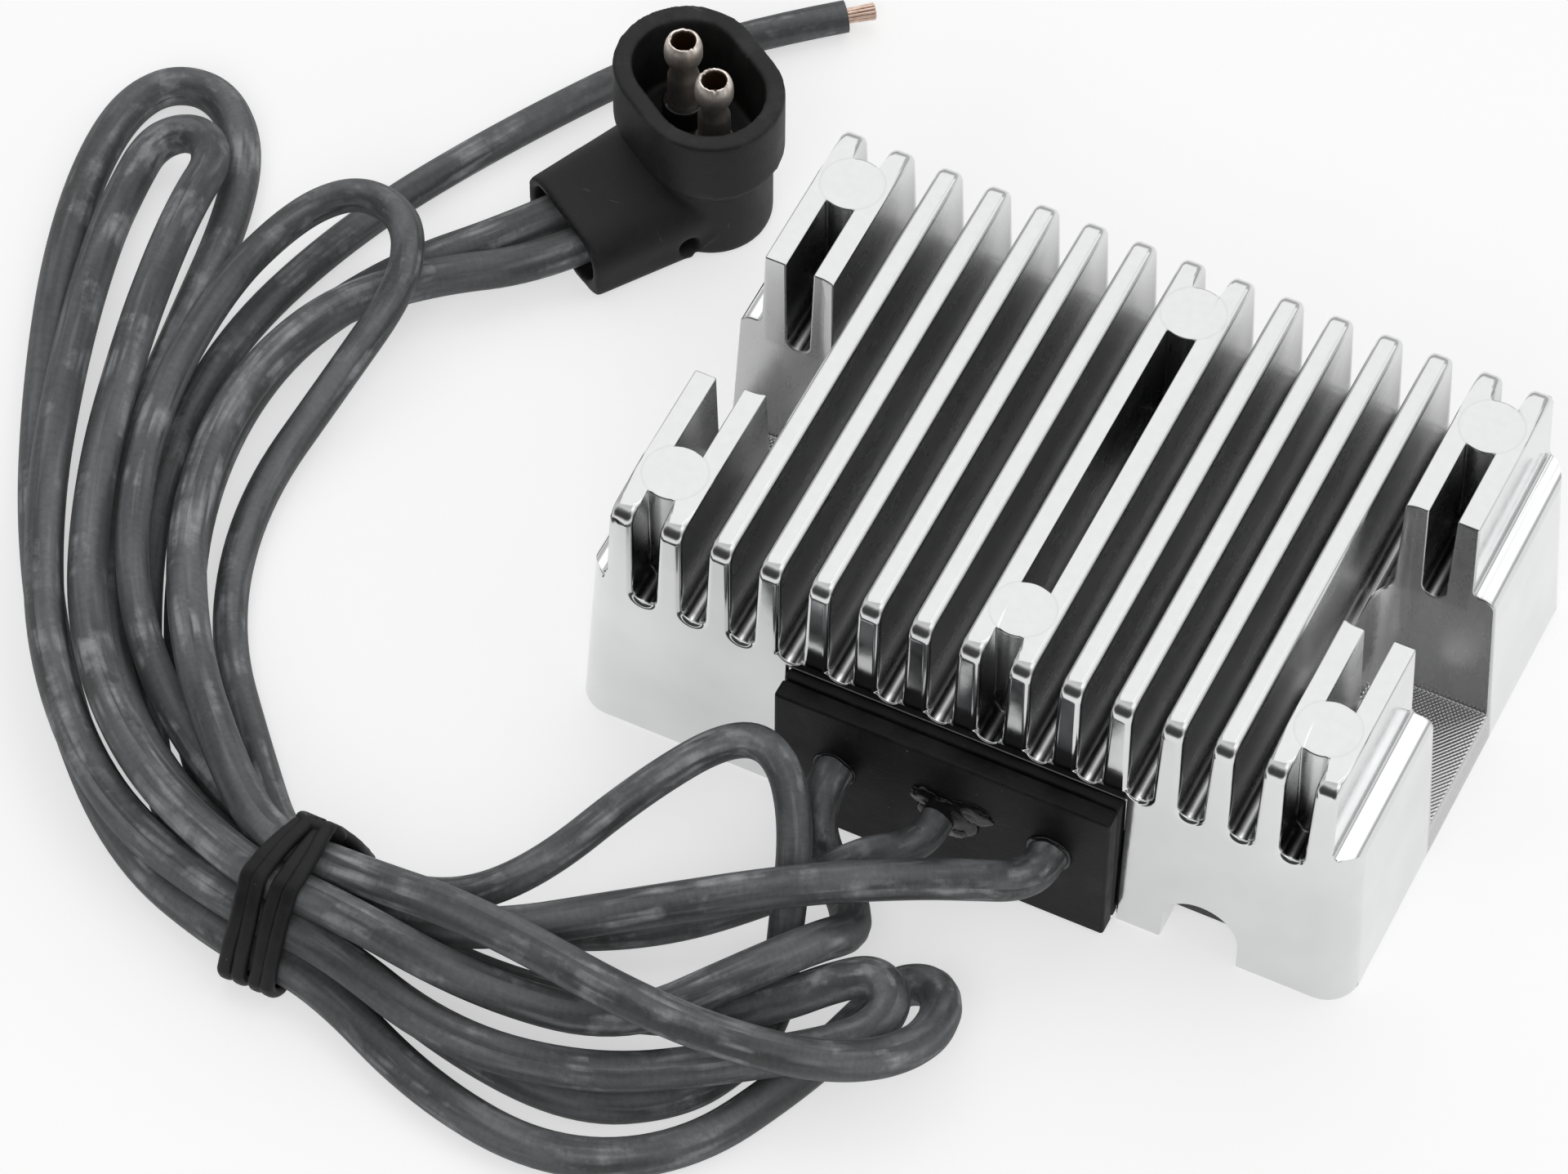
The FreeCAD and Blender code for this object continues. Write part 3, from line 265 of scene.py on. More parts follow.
def chrome():
    """Chrome over a casting, duller in the slots with painted shade deeper down them, and milled floors in
    the bolt pockets.
    """
    finish, tree, shader = start_finish("chrome_housing")
    place = add_node(tree, "TexCoord").outputs["Object"]
    axes = add_node(tree, "SeparateXYZ", Vector=place)
    along = add_node(tree, "Math", operation="ABSOLUTE")
    across = add_node(tree, "Math", operation="ABSOLUTE")
    tree.links.new(axes.outputs["X"], along.inputs[0])
    tree.links.new(axes.outputs["Y"], across.inputs[0])
    along = along.outputs[0]
    across = across.outputs[0]
    height = axes.outputs["Z"]
    below_top = rise(tree, height, 0.0459, 0.0455)
    in_slot = product(tree, rise(tree, across, 0.0379, 0.0368), rise(tree, along, 0.0541, 0.0536),
                      rise(tree, height, 0.0272, 0.0282), below_top)
    in_pocket = product(
        tree, rise(tree, along, 0.0410, 0.0417), rise(tree, across, 0.0114, 0.0107), below_top)
    # Painted shade: this mask grows from the fin tops down into the slots, and the slot walls are coloured
    # darker by it.
    painted_slot_shade = product(tree, in_slot, rise(tree, height, 0.045, 0.033))
    floor_mask = product(tree, in_pocket, rise(tree, height, 0.0070, 0.0067))
    streaks = add_node(tree, "Mapping", Vector=place, Scale=(260, 34, 90))
    stains = add_node(
        tree, "TexNoise", Vector=streaks.outputs["Vector"], Scale=1.0, Detail=6.0, Roughness=0.65)
    clouds = add_node(tree, "TexNoise", Vector=place, Scale=60.0, Detail=3.0, Roughness=0.5)
    pits = add_node(tree, "TexNoise", Vector=place, Scale=700.0, Detail=3.0, Roughness=0.6)
    stains_and_slot_shade = add_ramp(tree, stains.outputs["Fac"], 0.36, 0.70, grey(0.24), grey(0.38))
    bright = add_ramp(tree, clouds.outputs["Fac"], 0.35, 0.65, grey(0.70, -0.005), grey(0.76, -0.005))
    ground = blend_colours(tree, pits.outputs["Fac"], grey(0.52, -0.004), grey(0.58, -0.004))
    folded = add_node(tree, "CombineXYZ", X=axes.outputs["X"], Y=across, Z=height).outputs["Vector"]
    pad_y = 0.0282
    fin_top = 0.046
    for pad_x in (-0.04875, 0.00375, 0.04875):
        away = add_node(tree, "VectorMath", operation="DISTANCE")
        tree.links.new(folded, away.inputs[0])
        away.inputs[1].default_value = (pad_x, pad_y, fin_top)
        ring = product(tree, rise(tree, away.outputs["Value"], 0.0043, 0.0047),
                       rise(tree, away.outputs["Value"], 0.0049, 0.0047), 0.3)
        ground = blend_colours(tree, ring, ground, grey(0.42))
    # The slot walls take the dark stain colour deeper down: the stain pattern is the plating's own, its dark
    # level there is painted shade.
    plated = blend_colours(tree, painted_slot_shade, bright, stains_and_slot_shade)
    plated = blend_colours(tree, rise(tree, height, 0.0456, 0.0459), plated, ground)
    pocketed = blend_colours(tree, product(tree, in_pocket, 0.8), plated, grey(0.50))
    milled = blend_colours(tree, floor_mask, pocketed, grey(0.55))
    tree.links.new(milled, shader.inputs["Base Color"])
    shader.inputs["Metallic"].default_value = 1.0
    polish = add_ramp(tree, pits.outputs["Fac"], 0.3, 0.75, grey(0.10), grey(0.16))
    dull = add_ramp(tree, stains.outputs["Fac"], 0.3, 0.7, grey(0.22), grey(0.32))
    sheen = blend_colours(tree, in_slot, polish, dull)
    sheen = blend_colours(tree, in_pocket, sheen, dull)
    tree.links.new(sheen, shader.inputs["Roughness"])
    hatch = None
    for turn in (38, -38):
        turned = add_node(tree, "Mapping", Vector=place, Rotation=(0, 0, math.radians(turn)))
        lines = add_node(
            tree, "TexWave", Vector=turned.outputs["Vector"], Scale=620.0, Distortion=0.6, Detail=1.0)
        ridges = lines.outputs["Fac"]
        hatch = ridges if hatch is None else blend_colours(tree, 0.5, hatch, ridges)
    wave = blend_colours(tree, 0.06, clouds.outputs["Fac"], pits.outputs["Fac"])
    add_relief(tree, shader, blend_colours(tree, floor_mask, wave, hatch), 0.00009)
    return finish


def merged_copy(name):
    """A solid's own mesh, its facets joined into whole faces."""
    shape = bmesh.new()
    shape.from_mesh(solids[name].data)
    bmesh.ops.remove_doubles(shape, verts=shape.verts[:], dist=2e-6)
    bmesh.ops.dissolve_limit(shape, angle_limit=math.radians(0.4), verts=shape.verts[:], edges=shape.edges[:])
    return shape


def corners(shape, angle=50):
    """The edges that turn more than an angle in degrees."""
    return [edge for edge in shape.edges if edge.is_manifold and edge.calc_face_angle() > math.radians(angle)]


def round_off(shape, edges, radius, segments=2):
    """Rounds edges and gives the faces that this makes."""
    made = bmesh.ops.bevel(
        shape, geom=edges, offset=radius, offset_type="OFFSET", segments=segments, profile=0.5,
        affect="EDGES", clamp_overlap=False, material=-1)
    return set(made["faces"])


def show_piece(shape, name, finish, crisp=True):
    """The finished mesh as a piece that stands for the solid of that name."""
    mesh = bpy.data.meshes.new(name + "_form")
    shape.to_mesh(mesh)
    shape.free()
    mesh.materials.clear()
    mesh.materials.append(finish)
    for face in mesh.polygons:
        face.use_smooth = True
        face.material_index = 0
    piece = bpy.data.objects.new(name + "_form", mesh)
    scene.collection.objects.link(piece)
    if crisp:
        mesh.set_sharp_from_angle(angle=math.radians(50))
        crisping = piece.modifiers.new("flat faces", "WEIGHTED_NORMAL")
        crisping.keep_sharp = True
    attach(piece, "root")
    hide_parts(name)
    return piece


plate_middle = -0.001
plate_reach = 0.027
slot_bottom = 0.0277
slot_bottom_over_plate = 0.0288
fin_rounding = 0.0009
edge_rounding = 0.0003


def at_fin_end(vert):
    """Whether a corner is at the front or back end of a fin, clear of the thin wall over the wire plate."""
    beside_plate = abs(vert.co.x - plate_middle) > plate_reach or vert.co.y > 0
    above = vert.co.z > (slot_bottom if beside_plate else slot_bottom_over_plate)
    return above and abs(vert.co.x) < 0.0545 and abs(vert.co.y) > 0.0345


def at_shoulder_end(vert):
    """Whether a corner is where a shoulder's ledge runs out."""
    return 0.029 < vert.co.z < 0.032 and abs(vert.co.x) > 0.055 and abs(vert.co.y) > 0.03


housing = merged_copy("heatsink_housing")
fin_end_edges = [edge for edge in corners(housing, 65) if all(map(at_fin_end, edge.verts))]
fin_ends = round_off(housing, fin_end_edges, fin_rounding, 3)
other_edges = [
    edge for edge in corners(housing, 65)
    if not fin_ends & set(edge.link_faces) and not all(map(at_shoulder_end, edge.verts))
]
round_off(housing, other_edges, edge_rounding)
show_piece(housing, "heatsink_housing", chrome())

# The wire plate
# Two layers of moulded black rubber, the back one with a boss that plugs the window in the wall. The
# three cords were moulded through both.
plate_face = -0.0435
layer_rounding = 0.0005


def moulded_rubber(name, shade, dust):
    """Black moulded rubber with a fine grain, cloudy wear and grains of dust."""
    finish, tree, shader = start_finish(name)
    place = add_node(tree, "TexCoord").outputs["Object"]
    clouds = add_node(tree, "TexNoise", Vector=place, Scale=140.0, Detail=7.0, Roughness=0.65)
    grain = add_node(tree, "TexNoise", Vector=place, Scale=2200.0, Detail=3.0, Roughness=0.7)
    specks = add_node(tree, "TexVoronoi", Vector=place, Scale=520.0, Randomness=1.0)
    speck_mask = add_ramp(tree, specks.outputs["Distance"], 0.06, 0.10, grey(1.0), grey(0.0))
    sparse = add_ramp(tree, clouds.outputs["Fac"], 0.52, 0.60)
    wear = add_ramp(tree, clouds.outputs["Fac"], 0.40, 0.72, grey(shade), grey(shade * 2.2))
    dusty = blend_colours(tree, product(tree, speck_mask, sparse, dust), wear, grey(0.25))
    handled = product(tree, add_ramp(tree, clouds.outputs["Fac"], 0.46, 0.66), dust, 0.5)
    dusty = blend_colours(tree, handled, dusty, grey(0.030))
    tree.links.new(dusty, shader.inputs["Base Color"])
    sheen = add_ramp(tree, clouds.outputs["Fac"], 0.3, 0.7, grey(0.42), grey(0.62))
    tree.links.new(sheen, shader.inputs["Roughness"])
    shader.inputs["Specular IOR Level"].default_value = 0.2
    surface = blend_colours(tree, 0.35, clouds.outputs["Fac"], grain.outputs["Fac"])
    add_relief(tree, shader, surface, 0.00015, 0.7)
    return finish


plate_finish = moulded_rubber("plate_rubber", 0.0042, 0.7)
for name in ("wire_grommet", "wire_plate"):
    layer = merged_copy(name)
    round_off(layer, corners(layer), layer_rounding, 3)
    show_piece(layer, name, plate_finish)

# The sealant round the cords
# Black sealant, pressed round the middle cord by hand and left as it set, and a thin lip of it where
# each of the thick cords comes out.
sealant_finish, sealant_tree, sealant_shader = start_finish("sealant")
sealant_place = add_node(sealant_tree, "TexCoord").outputs["Object"]
sealant_lumps = add_node(
    sealant_tree, "TexNoise", Vector=sealant_place, Scale=600.0, Detail=5.0, Roughness=0.6)
sealant_tree.links.new(
    add_ramp(sealant_tree, sealant_lumps.outputs["Fac"], 0.35, 0.7, grey(0.002), grey(0.006)),
    sealant_shader.inputs["Base Color"])
sealant_tree.links.new(
    add_ramp(sealant_tree, sealant_lumps.outputs["Fac"], 0.35, 0.65, grey(0.16), grey(0.40)),
    sealant_shader.inputs["Roughness"])
add_relief(sealant_tree, sealant_shader, sealant_lumps.outputs["Fac"], 0.00012)


def sealant_blob(shape, middle, size, lumps):
    """Adds a squashed lump of sealant that stands on the plate's face."""
    made = bmesh.ops.create_icosphere(shape, subdivisions=4, radius=1.0)
    for vert in made["verts"]:
        way = vert.co.copy()
        swell = 1 + lumps * noise.fractal(way * 2.3 + Vector(middle) * 900, 1.0, 2.0, 4)
        vert.co = Vector(middle) + Vector((way.x * size[0], way.y * size[1], way.z * size[2])) * swell


bead = bmesh.new()
sealant_blob(bead, (0.0004, plate_face, 0.0142), (0.0046, 0.0010, 0.0041), 0.11)
sealant_blob(bead, (0.0038, plate_face, 0.0172), (0.0034, 0.0006, 0.0023), 0.14)
sealant_blob(bead, (-0.0030, plate_face, 0.0170), (0.0024, 0.0007, 0.0020), 0.14)
sealant_blob(bead, (0.0024, plate_face - 0.0002, 0.0128), (0.0015, 0.0009, 0.0013), 0.12)
bead_parts = bead.verts[:] + bead.edges[:] + bead.faces[:]
bead_seat = (0, plate_face + 0.0003, 0)
bmesh.ops.bisect_plane(bead, geom=bead_parts, plane_co=bead_seat, plane_no=(0, 1, 0), clear_outer=True)
bmesh.ops.holes_fill(bead, edges=[edge for edge in bead.edges if edge.is_boundary], sides=0)
show_piece(bead, "sealant_bead", sealant_finish, crisp=False)

lips = bmesh.new()
for name, lip_radius in (("wire_right", 0.00045), ("wire_left", 0.00025)):
    exit_x, exit_y, exit_z = cord_routes[name][0]
    ring = bmesh.ops.create_circle(lips, segments=10, radius=lip_radius)
    bmesh.ops.translate(lips, verts=ring["verts"], vec=(thick_cord / 2 + 0.0001, 0, 0))
    bmesh.ops.spin(lips, geom=ring["verts"] + list({e for v in ring["verts"] for e in v.link_edges}),
                   cent=(0, 0, 0), axis=(0, 1, 0), angle=2 * math.pi, steps=48, use_merge=True)
    lip_verts = {vert for vert in lips.verts if vert.tag is False}
    for vert in lip_verts:
        swell = 0.00035 * noise.noise(vert.co * 420 + Vector((exit_x * 900, 0, 0)))
        vert.co = Vector((exit_x, exit_y, exit_z)) + vert.co * (1 + swell * 100) + Vector((0, swell, 0))
        vert.tag = True
bmesh.ops.recalc_face_normals(lips, faces=lips.faces[:])
lip_mesh = bpy.data.meshes.new("exit_lips")
lips.to_mesh(lip_mesh)
lips.free()
lip_mesh.materials.append(sealant_finish)
for face in lip_mesh.polygons:
    face.use_smooth = True
exit_lips = bpy.data.objects.new("exit_lips", lip_mesh)
scene.collection.objects.link(exit_lips)
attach(exit_lips, "root")

# The bare end
# The middle cord ends stripped: nineteen fine copper strands, pale from handling, cut off a little
# unevenly and slightly spread.
cord_end = Vector(cord_routes["wire_centre"][-1])
end_way = (cord_end - Vector(cord_routes["wire_centre"][-2])).normalized()
end_side = end_way.cross(Vector((0, 0, 1))).normalized()
end_lift = end_side.cross(end_way)
strand_radius = 0.00024
strand_steps = ((-0.002, 0.94), (0.001, 0.97), (0.003, 1.02), (0.0045, 1.07))
dull_copper = (0.50, 0.33, 0.25, 1)
bright_copper = (0.83, 0.67, 0.57, 1)
strand_finish, strand_tree, strand_shader = start_finish("copper")
strand_place = add_node(strand_tree, "TexCoord").outputs["Object"]
strand_tarnish = add_node(
    strand_tree, "TexNoise", Vector=strand_place, Scale=900.0, Detail=4.0, Roughness=0.6)
strand_tree.links.new(
    add_ramp(strand_tree, strand_tarnish.outputs["Fac"], 0.3, 0.7, dull_copper, bright_copper),
    strand_shader.inputs["Base Color"])
strand_shader.inputs["Metallic"].default_value = 1.0
strand_tree.links.new(
    add_ramp(strand_tree, strand_tarnish.outputs["Fac"], 0.3, 0.7, grey(0.26), grey(0.42)),
    strand_shader.inputs["Roughness"])
add_relief(strand_tree, strand_shader, strand_tarnish.outputs["Fac"], 0.00003)
strands = bpy.data.curves.new("bare_strands_form", "CURVE")
strands.dimensions = "3D"
strands.bevel_depth = strand_radius
strands.bevel_resolution = 2
strands.use_fill_caps = True
strands.materials.append(strand_finish)
for layer, count in ((0, 1), (1, 6), (2, 12)):
    for number in range(count):
        angle = 2 * math.pi * number / count + layer * 0.4
        side = math.cos(angle) * layer * strand_radius * 2
        lift = math.sin(angle) * layer * strand_radius * 2
        stray = noise.noise_vector(Vector((angle * 3.1, layer * 7.7, 0.5)))
        spline = strands.splines.new("NURBS")
        spline.points.add(3)
        for point, (out, spread) in zip(spline.points, strand_steps):
            reach = out + (0.0004 * stray.x if out > 0.004 else 0)
            place = cord_end + end_way * reach + end_side * side * spread + end_lift * lift * spread
            if out > 0:
                place += end_side * stray.y * 0.00025 * out / 0.0045
            point.co = (*place, 1)
        spline.order_u = 3
        spline.use_endpoint_u = True
        spline.resolution_u = 4
strand_piece = bpy.data.objects.new("bare_strands_form", strands)
scene.collection.objects.link(strand_piece)
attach(strand_piece, "root")
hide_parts("bare_strands")

# The rubber band
# One black rubber band, wound four times round the folded cords and tucked under itself in a knot at
# the far side.
band_x = -0.0756
band_section = 0.00082
band_stretch = 0.00028
band_clearance = 0.0006
band_lean = 0.10
band_shift = (-0.0036, -0.0018, 0.0010, 0.0028)
knot_angle = math.radians(52)
knot_radius = 0.0009
cord_passes = []
for name, route in cord_routes.items():
    for first, second in zip(route, route[1:]):
        if (first[0] - band_x) * (second[0] - band_x) < 0:
            cord_passes.append((first[1], first[2], (thin_cord if name == "wire_centre" else thick_cord) / 2))
bundle_y = sum(place[0] for place in cord_passes) / len(cord_passes)
bundle_z = sum(place[1] for place in cord_passes) / len(cord_passes)


def round_bundle(angle, out):
    """The place (y, z) on a tight line round all the cords, standing out from them."""
    places = []
    for sway in (-0.4, -0.2, 0, 0.2, 0.4):
        way = (math.cos(angle + sway), math.sin(angle + sway))
        y, z, radius = max(cord_passes, key=lambda place: place[0] * way[0] + place[1] * way[1] + place[2])
        stand_off = radius + out + band_clearance
        places.append((y + way[0] * stand_off, z + way[1] * stand_off))
    return sum(y for y, z in places) / len(places), sum(z for y, z in places) / len(places)


def near_knot(y, z):
    """How near a place is to the knot, from 0 to 1, by its angle round the bundle."""
    away = math.atan2(z - bundle_z, y - bundle_y) - knot_angle
    away = math.atan2(math.sin(away), math.cos(away))
    return math.exp(-(away / 0.62) ** 2)


def band_turn(number, shift):
    """One turn of the band: a strap with rounded edges round the bundle, drawn in towards the knot."""
    line = bpy.data.curves.new("turn", "CURVE")
    line.dimensions = "2D"
    line.fill_mode = "NONE"
    line.bevel_depth = band_section
    line.bevel_resolution = 3
    line.extrude = band_stretch
    spline = line.splines.new("POLY")
    steps = 72
    spline.points.add(steps - 1)
    for step, point in enumerate(spline.points):
        y, z = round_bundle(2 * math.pi * step / steps, band_section + 0.0001)
        point.co = (y, z, 0, 1)
    spline.use_cyclic_u = True
    turn = bpy.data.objects.new("turn", line)
    scene.collection.objects.link(turn)
    bpy.context.view_layer.update()
    mesh = bpy.data.meshes.new_from_object(turn.evaluated_get(bpy.context.evaluated_depsgraph_get()))
    bpy.data.objects.remove(turn)
    bpy.data.curves.remove(line)
    for vert in mesh.vertices:
        y, z, x = vert.co
        pull = near_knot(y, z)
        sway = 0.00035 * noise.noise(Vector((y * 120, z * 120, number * 3.7)))
        lean = (y - bundle_y) * band_lean
        lift = 0.0007 * pull * (number % 2)
        vert.co = (band_x + x + shift * (1 - 0.42 * pull) + sway + lean, y + lift * 0.6, z + lift * 0.8)
    return mesh


band = bmesh.new()
for number, shift in enumerate(band_shift):
    turn_mesh = band_turn(number, shift)
    band.from_mesh(turn_mesh)
    bpy.data.meshes.remove(turn_mesh)
knot_y, knot_z = round_bundle(knot_angle, band_section * 2)
knot_line = bpy.data.curves.new("knot", "CURVE")
knot_line.dimensions = "3D"
knot_line.bevel_depth = knot_radius
knot_line.bevel_resolution = 4
knot_line.use_fill_caps = True
knot = knot_line.splines.new("NURBS")
knot_route = (
    (0.0034, 0.0010, -0.0026), (0.0030, 0.0006, -0.0008), (0.0016, -0.0006, 0.0004),
    (-0.0004, -0.0010, 0.0004), (-0.0018, -0.0004, 0.0000), (-0.0024, 0.0006, -0.0010),
    (-0.0014, 0.0010, -0.0018), (0.0008, 0.0008, -0.0014),
)
knot.points.add(len(knot_route) - 1)
for point, (x, y, z) in zip(knot.points, knot_route):
    point.co = (band_x + x, knot_y + y, knot_z + z, 1)
knot.order_u = 3
knot.use_endpoint_u = True
knot_piece = bpy.data.objects.new("knot", knot_line)
scene.collection.objects.link(knot_piece)
bpy.context.view_layer.update()
knot_mesh = bpy.data.meshes.new_from_object(knot_piece.evaluated_get(bpy.context.evaluated_depsgraph_get()))
band.from_mesh(knot_mesh)
bpy.data.objects.remove(knot_piece)
bpy.data.curves.remove(knot_line)
bpy.data.meshes.remove(knot_mesh)
bmesh.ops.remove_doubles(band, verts=band.verts[:], dist=1e-6)
bmesh.ops.recalc_face_normals(band, faces=band.faces[:])
show_piece(band, "tie_band", moulded_rubber("band_rubber", 0.012, 0.3), crisp=False)

# The plug
# A right-angle plug of soft black rubber, moulded in one over the pair of thick cords, with an oval
# collar round two pins. Its corners are round and its boot runs softly into its neck.
plug_place = Matrix.Translation((-0.0838, 0.0503, 0)) @ Matrix.Rotation(math.radians(-33), 4, "Z")


def plug_rubber():
    """Black rubber, matt, scuffed pale along the collar and on the boot."""
    finish, tree, shader = start_finish("plug_rubber")
    place = add_node(tree, "TexCoord").outputs["Object"]
    height = add_node(tree, "SeparateXYZ", Vector=place).outputs["Z"]
    clouds = add_node(tree, "TexNoise", Vector=place, Scale=110.0, Detail=8.0, Roughness=0.7)
    grain = add_node(tree, "TexNoise", Vector=place, Scale=1800.0, Detail=3.0, Roughness=0.7)
    scratch_place = add_node(tree, "Mapping", Vector=place, Scale=(60, 420, 60), Rotation=(0.3, 0.2, 0.6))
    scratches = add_node(tree, "TexNoise", Vector=scratch_place.outputs["Vector"], Scale=3.0, Detail=6.0)
    scratch_mask = add_ramp(tree, scratches.outputs["Fac"], 0.64, 0.70)
    cloud_mask = add_ramp(tree, clouds.outputs["Fac"], 0.50, 0.66)
    rim = rise(tree, height, 0.0255, 0.0268)
    base = add_ramp(tree, clouds.outputs["Fac"], 0.35, 0.7, grey(0.009), grey(0.021))
    scuffed = blend_colours(tree, product(tree, scratch_mask, cloud_mask, 0.8), base, grey(0.17))
    dusted = blend_colours(tree, product(tree, cloud_mask, rim, 0.5), scuffed, grey(0.06))
    tree.links.new(dusted, shader.inputs["Base Color"])
    sheen = add_ramp(tree, clouds.outputs["Fac"], 0.3, 0.7, grey(0.50), grey(0.68))
    tree.links.new(sheen, shader.inputs["Roughness"])
    shader.inputs["Specular IOR Level"].default_value = 0.3
    surface = blend_colours(tree, 0.4, clouds.outputs["Fac"], grain.outputs["Fac"])
    add_relief(tree, shader, surface, 0.00014, 0.7)
    return finish


blank = bpy.data.objects.new("plug_blank", solids["plug_body"].data.copy())
scene.collection.objects.link(blank)
merge = bmesh.new()
merge.from_mesh(blank.data)
bmesh.ops.remove_doubles(merge, verts=merge.verts[:], dist=2e-6)
merge.to_mesh(blank.data)
merge.free()
remesh = blank.modifiers.new("even faces", "REMESH")
remesh.mode = "VOXEL"
remesh.voxel_size = 0.00042
bpy.context.view_layer.update()
plug_mesh = bpy.data.meshes.new_from_object(blank.evaluated_get(bpy.context.evaluated_depsgraph_get()))
bpy.data.objects.remove(blank)
plug = bmesh.new()
plug.from_mesh(plug_mesh)
bpy.data.meshes.remove(plug_mesh)


def soften(verts, times):
    """Evens out some of the plug's surface, a number of times over."""
    for count in range(times):
        bmesh.ops.smooth_vert(
            plug, verts=verts, factor=0.5, use_axis_x=True, use_axis_y=True, use_axis_z=True)


soften(plug.verts[:], 4)
to_plug = plug_place.inverted()
saddle = []
for vert in plug.verts:
    place = to_plug @ vert.co
    if -0.0150 < place.y < -0.0050 and 0.004 < place.z < 0.0190:
        saddle.append(vert)
soften(saddle, 14)


boot_length = 0.0234
boot_width = 0.0230
boot_narrowing = 0.0030
boot_height = 0.0150
boot_lowering = 0.0040
moulded_roundness = 0.46
seen_roundness = 0.22


def boot_side(place, roundness):
    """How far out the boot's side lies at a place, its corners rounded by a share of its height."""
    along = max(0.0, min(1.0, -place.y / boot_length))
    width = boot_width - boot_narrowing * along
    radius = (boot_height - boot_lowering * along) * roundness
    drop = max(0.0, radius - place.z)
    return width / 2 - radius + math.sqrt(max(0.0, radius ** 2 - drop ** 2))


sides = []
for vert in plug.verts:
    place = to_plug @ vert.co
    inside = boot_side(place, moulded_roundness) - abs(place.x)
    if -0.0245 < place.y < -0.001 and place.z < 0.0068 and -0.0006 < inside < 0.0014:
        share = min(1.0, (0.0014 - inside) / 0.0010) * min(1.0, (-0.001 - place.y) / 0.003)
        outward = boot_side(place, seen_roundness) - boot_side(place, moulded_roundness)
        place.x += math.copysign(share * outward, place.x)
        vert.co = plug_place @ place
        sides.append(vert)
soften(sides, 3)
plug_pieces = [show_piece(plug, "plug_body", plug_rubber(), crisp=False)]

# The two pins and their insulators
# Turned brass pins, tinned and drilled hollow, their rims torn a little where they were swaged. Each
# stands in a short hard sleeve on the floor of the collar.
pin_finish, pin_tree, pin_shader = start_finish("pin_metal")
pin_spot = add_node(pin_tree, "TexCoord").outputs["Object"]
pin_streaks = add_node(pin_tree, "Mapping", Vector=pin_spot, Scale=(900, 900, 160))
pin_stains = add_node(
    pin_tree, "TexNoise", Vector=pin_streaks.outputs["Vector"], Scale=1.0, Detail=6.0, Roughness=0.65)
pin_tree.links.new(
    add_ramp(pin_tree, pin_stains.outputs["Fac"], 0.32, 0.66, (0.62, 0.56, 0.51, 1), (0.95, 0.88, 0.82, 1)),
    pin_shader.inputs["Base Color"])
pin_shader.inputs["Metallic"].default_value = 1.0
pin_tree.links.new(
    add_ramp(pin_tree, pin_stains.outputs["Fac"], 0.3, 0.7, grey(0.60), grey(0.42)),
    pin_shader.inputs["Roughness"])
add_relief(pin_tree, pin_shader, pin_stains.outputs["Fac"], 0.00006)
# Painted shade: the inside of each hollow pin is coloured dark brown, as the shade down its bore.
pin_bore_shade = add_node(pin_tree, "Attribute", attribute_name="bore").outputs["Fac"]
pin_colour = pin_shader.inputs["Base Color"].links[0].from_socket
pin_tree.links.new(
    blend_colours(pin_tree, pin_bore_shade, pin_colour, (0.16, 0.10, 0.07, 1)),
    pin_shader.inputs["Base Color"])
pin_outline = (
    (0, 0.0055), (0.0015, 0.0055), (0.0015, 0.0175), (0.0024, 0.0175), (0.0024, 0.0228),
    (0.00222, 0.0234), (0.00198, 0.0246), (0.00205, 0.0256), (0.0023, 0.0262), (0.00262, 0.0268),
    (0.00282, 0.0274), (0.00286, 0.0282), (0.00283, 0.0291), (0.00268, 0.0299), (0.00245, 0.0305),
    (0.0022, 0.0308), (0.00195, 0.03075), (0.0018, 0.0304), (0.00176, 0.0290), (0.0017, 0.0266),
    (0.0009, 0.0262), (0, 0.0261),
)
pin_aside = 0.00435
bore_floor = 0.0255
bore_radius = 0.00182
torn_from = 0.0298
for name, side in (("plug_pin_a", -1), ("plug_pin_b", 1)):
    pin = bmesh.new()
    line = [pin.verts.new((radius, 0, z)) for radius, z in pin_outline]
    edges = [pin.edges.new(pair) for pair in zip(line, line[1:])]
    bmesh.ops.spin(
        pin, geom=line + edges, cent=(0, 0, 0), axis=(0, 0, 1), angle=2 * math.pi, steps=56, use_merge=True)
    bmesh.ops.remove_doubles(pin, verts=pin.verts[:], dist=1e-6)
    bmesh.ops.recalc_face_normals(pin, faces=pin.faces[:])
    bore = pin.verts.layers.float.new("bore")
    # Marks the inside of the bore, where the painted shade goes.
    for vert in pin.verts:
        in_bore = vert.co.z > bore_floor and math.hypot(vert.co.x, vert.co.y) < bore_radius
        vert[bore] = 1.0 if in_bore else 0.0
        torn = max(0.0, min(1.0, (vert.co.z - torn_from) / 0.0010))
        angle = math.atan2(vert.co.y, vert.co.x)
        rough = noise.noise(Vector((math.cos(angle) * 3, math.sin(angle) * 3, side * 5)))
        notch = max(0.0, noise.noise(Vector((math.cos(angle) * 6, math.sin(angle) * 6, side * 9))) - 0.15)
        vert.co.z += torn * (0.00012 * rough - 0.0009 * notch)
        vert.co.x *= 1 + 0.035 * torn * rough
        vert.co.y *= 1 - 0.030 * torn * rough
    pin.transform(plug_place @ Matrix.Translation((side * pin_aside, 0, 0)))
    plug_pieces.append(show_piece(pin, name, pin_finish))

sleeve_rounding = 0.0003
sleeve_finish = moulded_rubber("insulator_black", 0.008, 0.2)
sleeve_finish.node_tree.nodes["Principled BSDF"].inputs["Coat Weight"].default_value = 0.5
for name in ("pin_insulator_a", "pin_insulator_b"):
    sleeve = merged_copy(name)
    round_off(sleeve, corners(sleeve), sleeve_rounding, 3)
    plug_pieces.append(show_piece(sleeve, name, sleeve_finish))

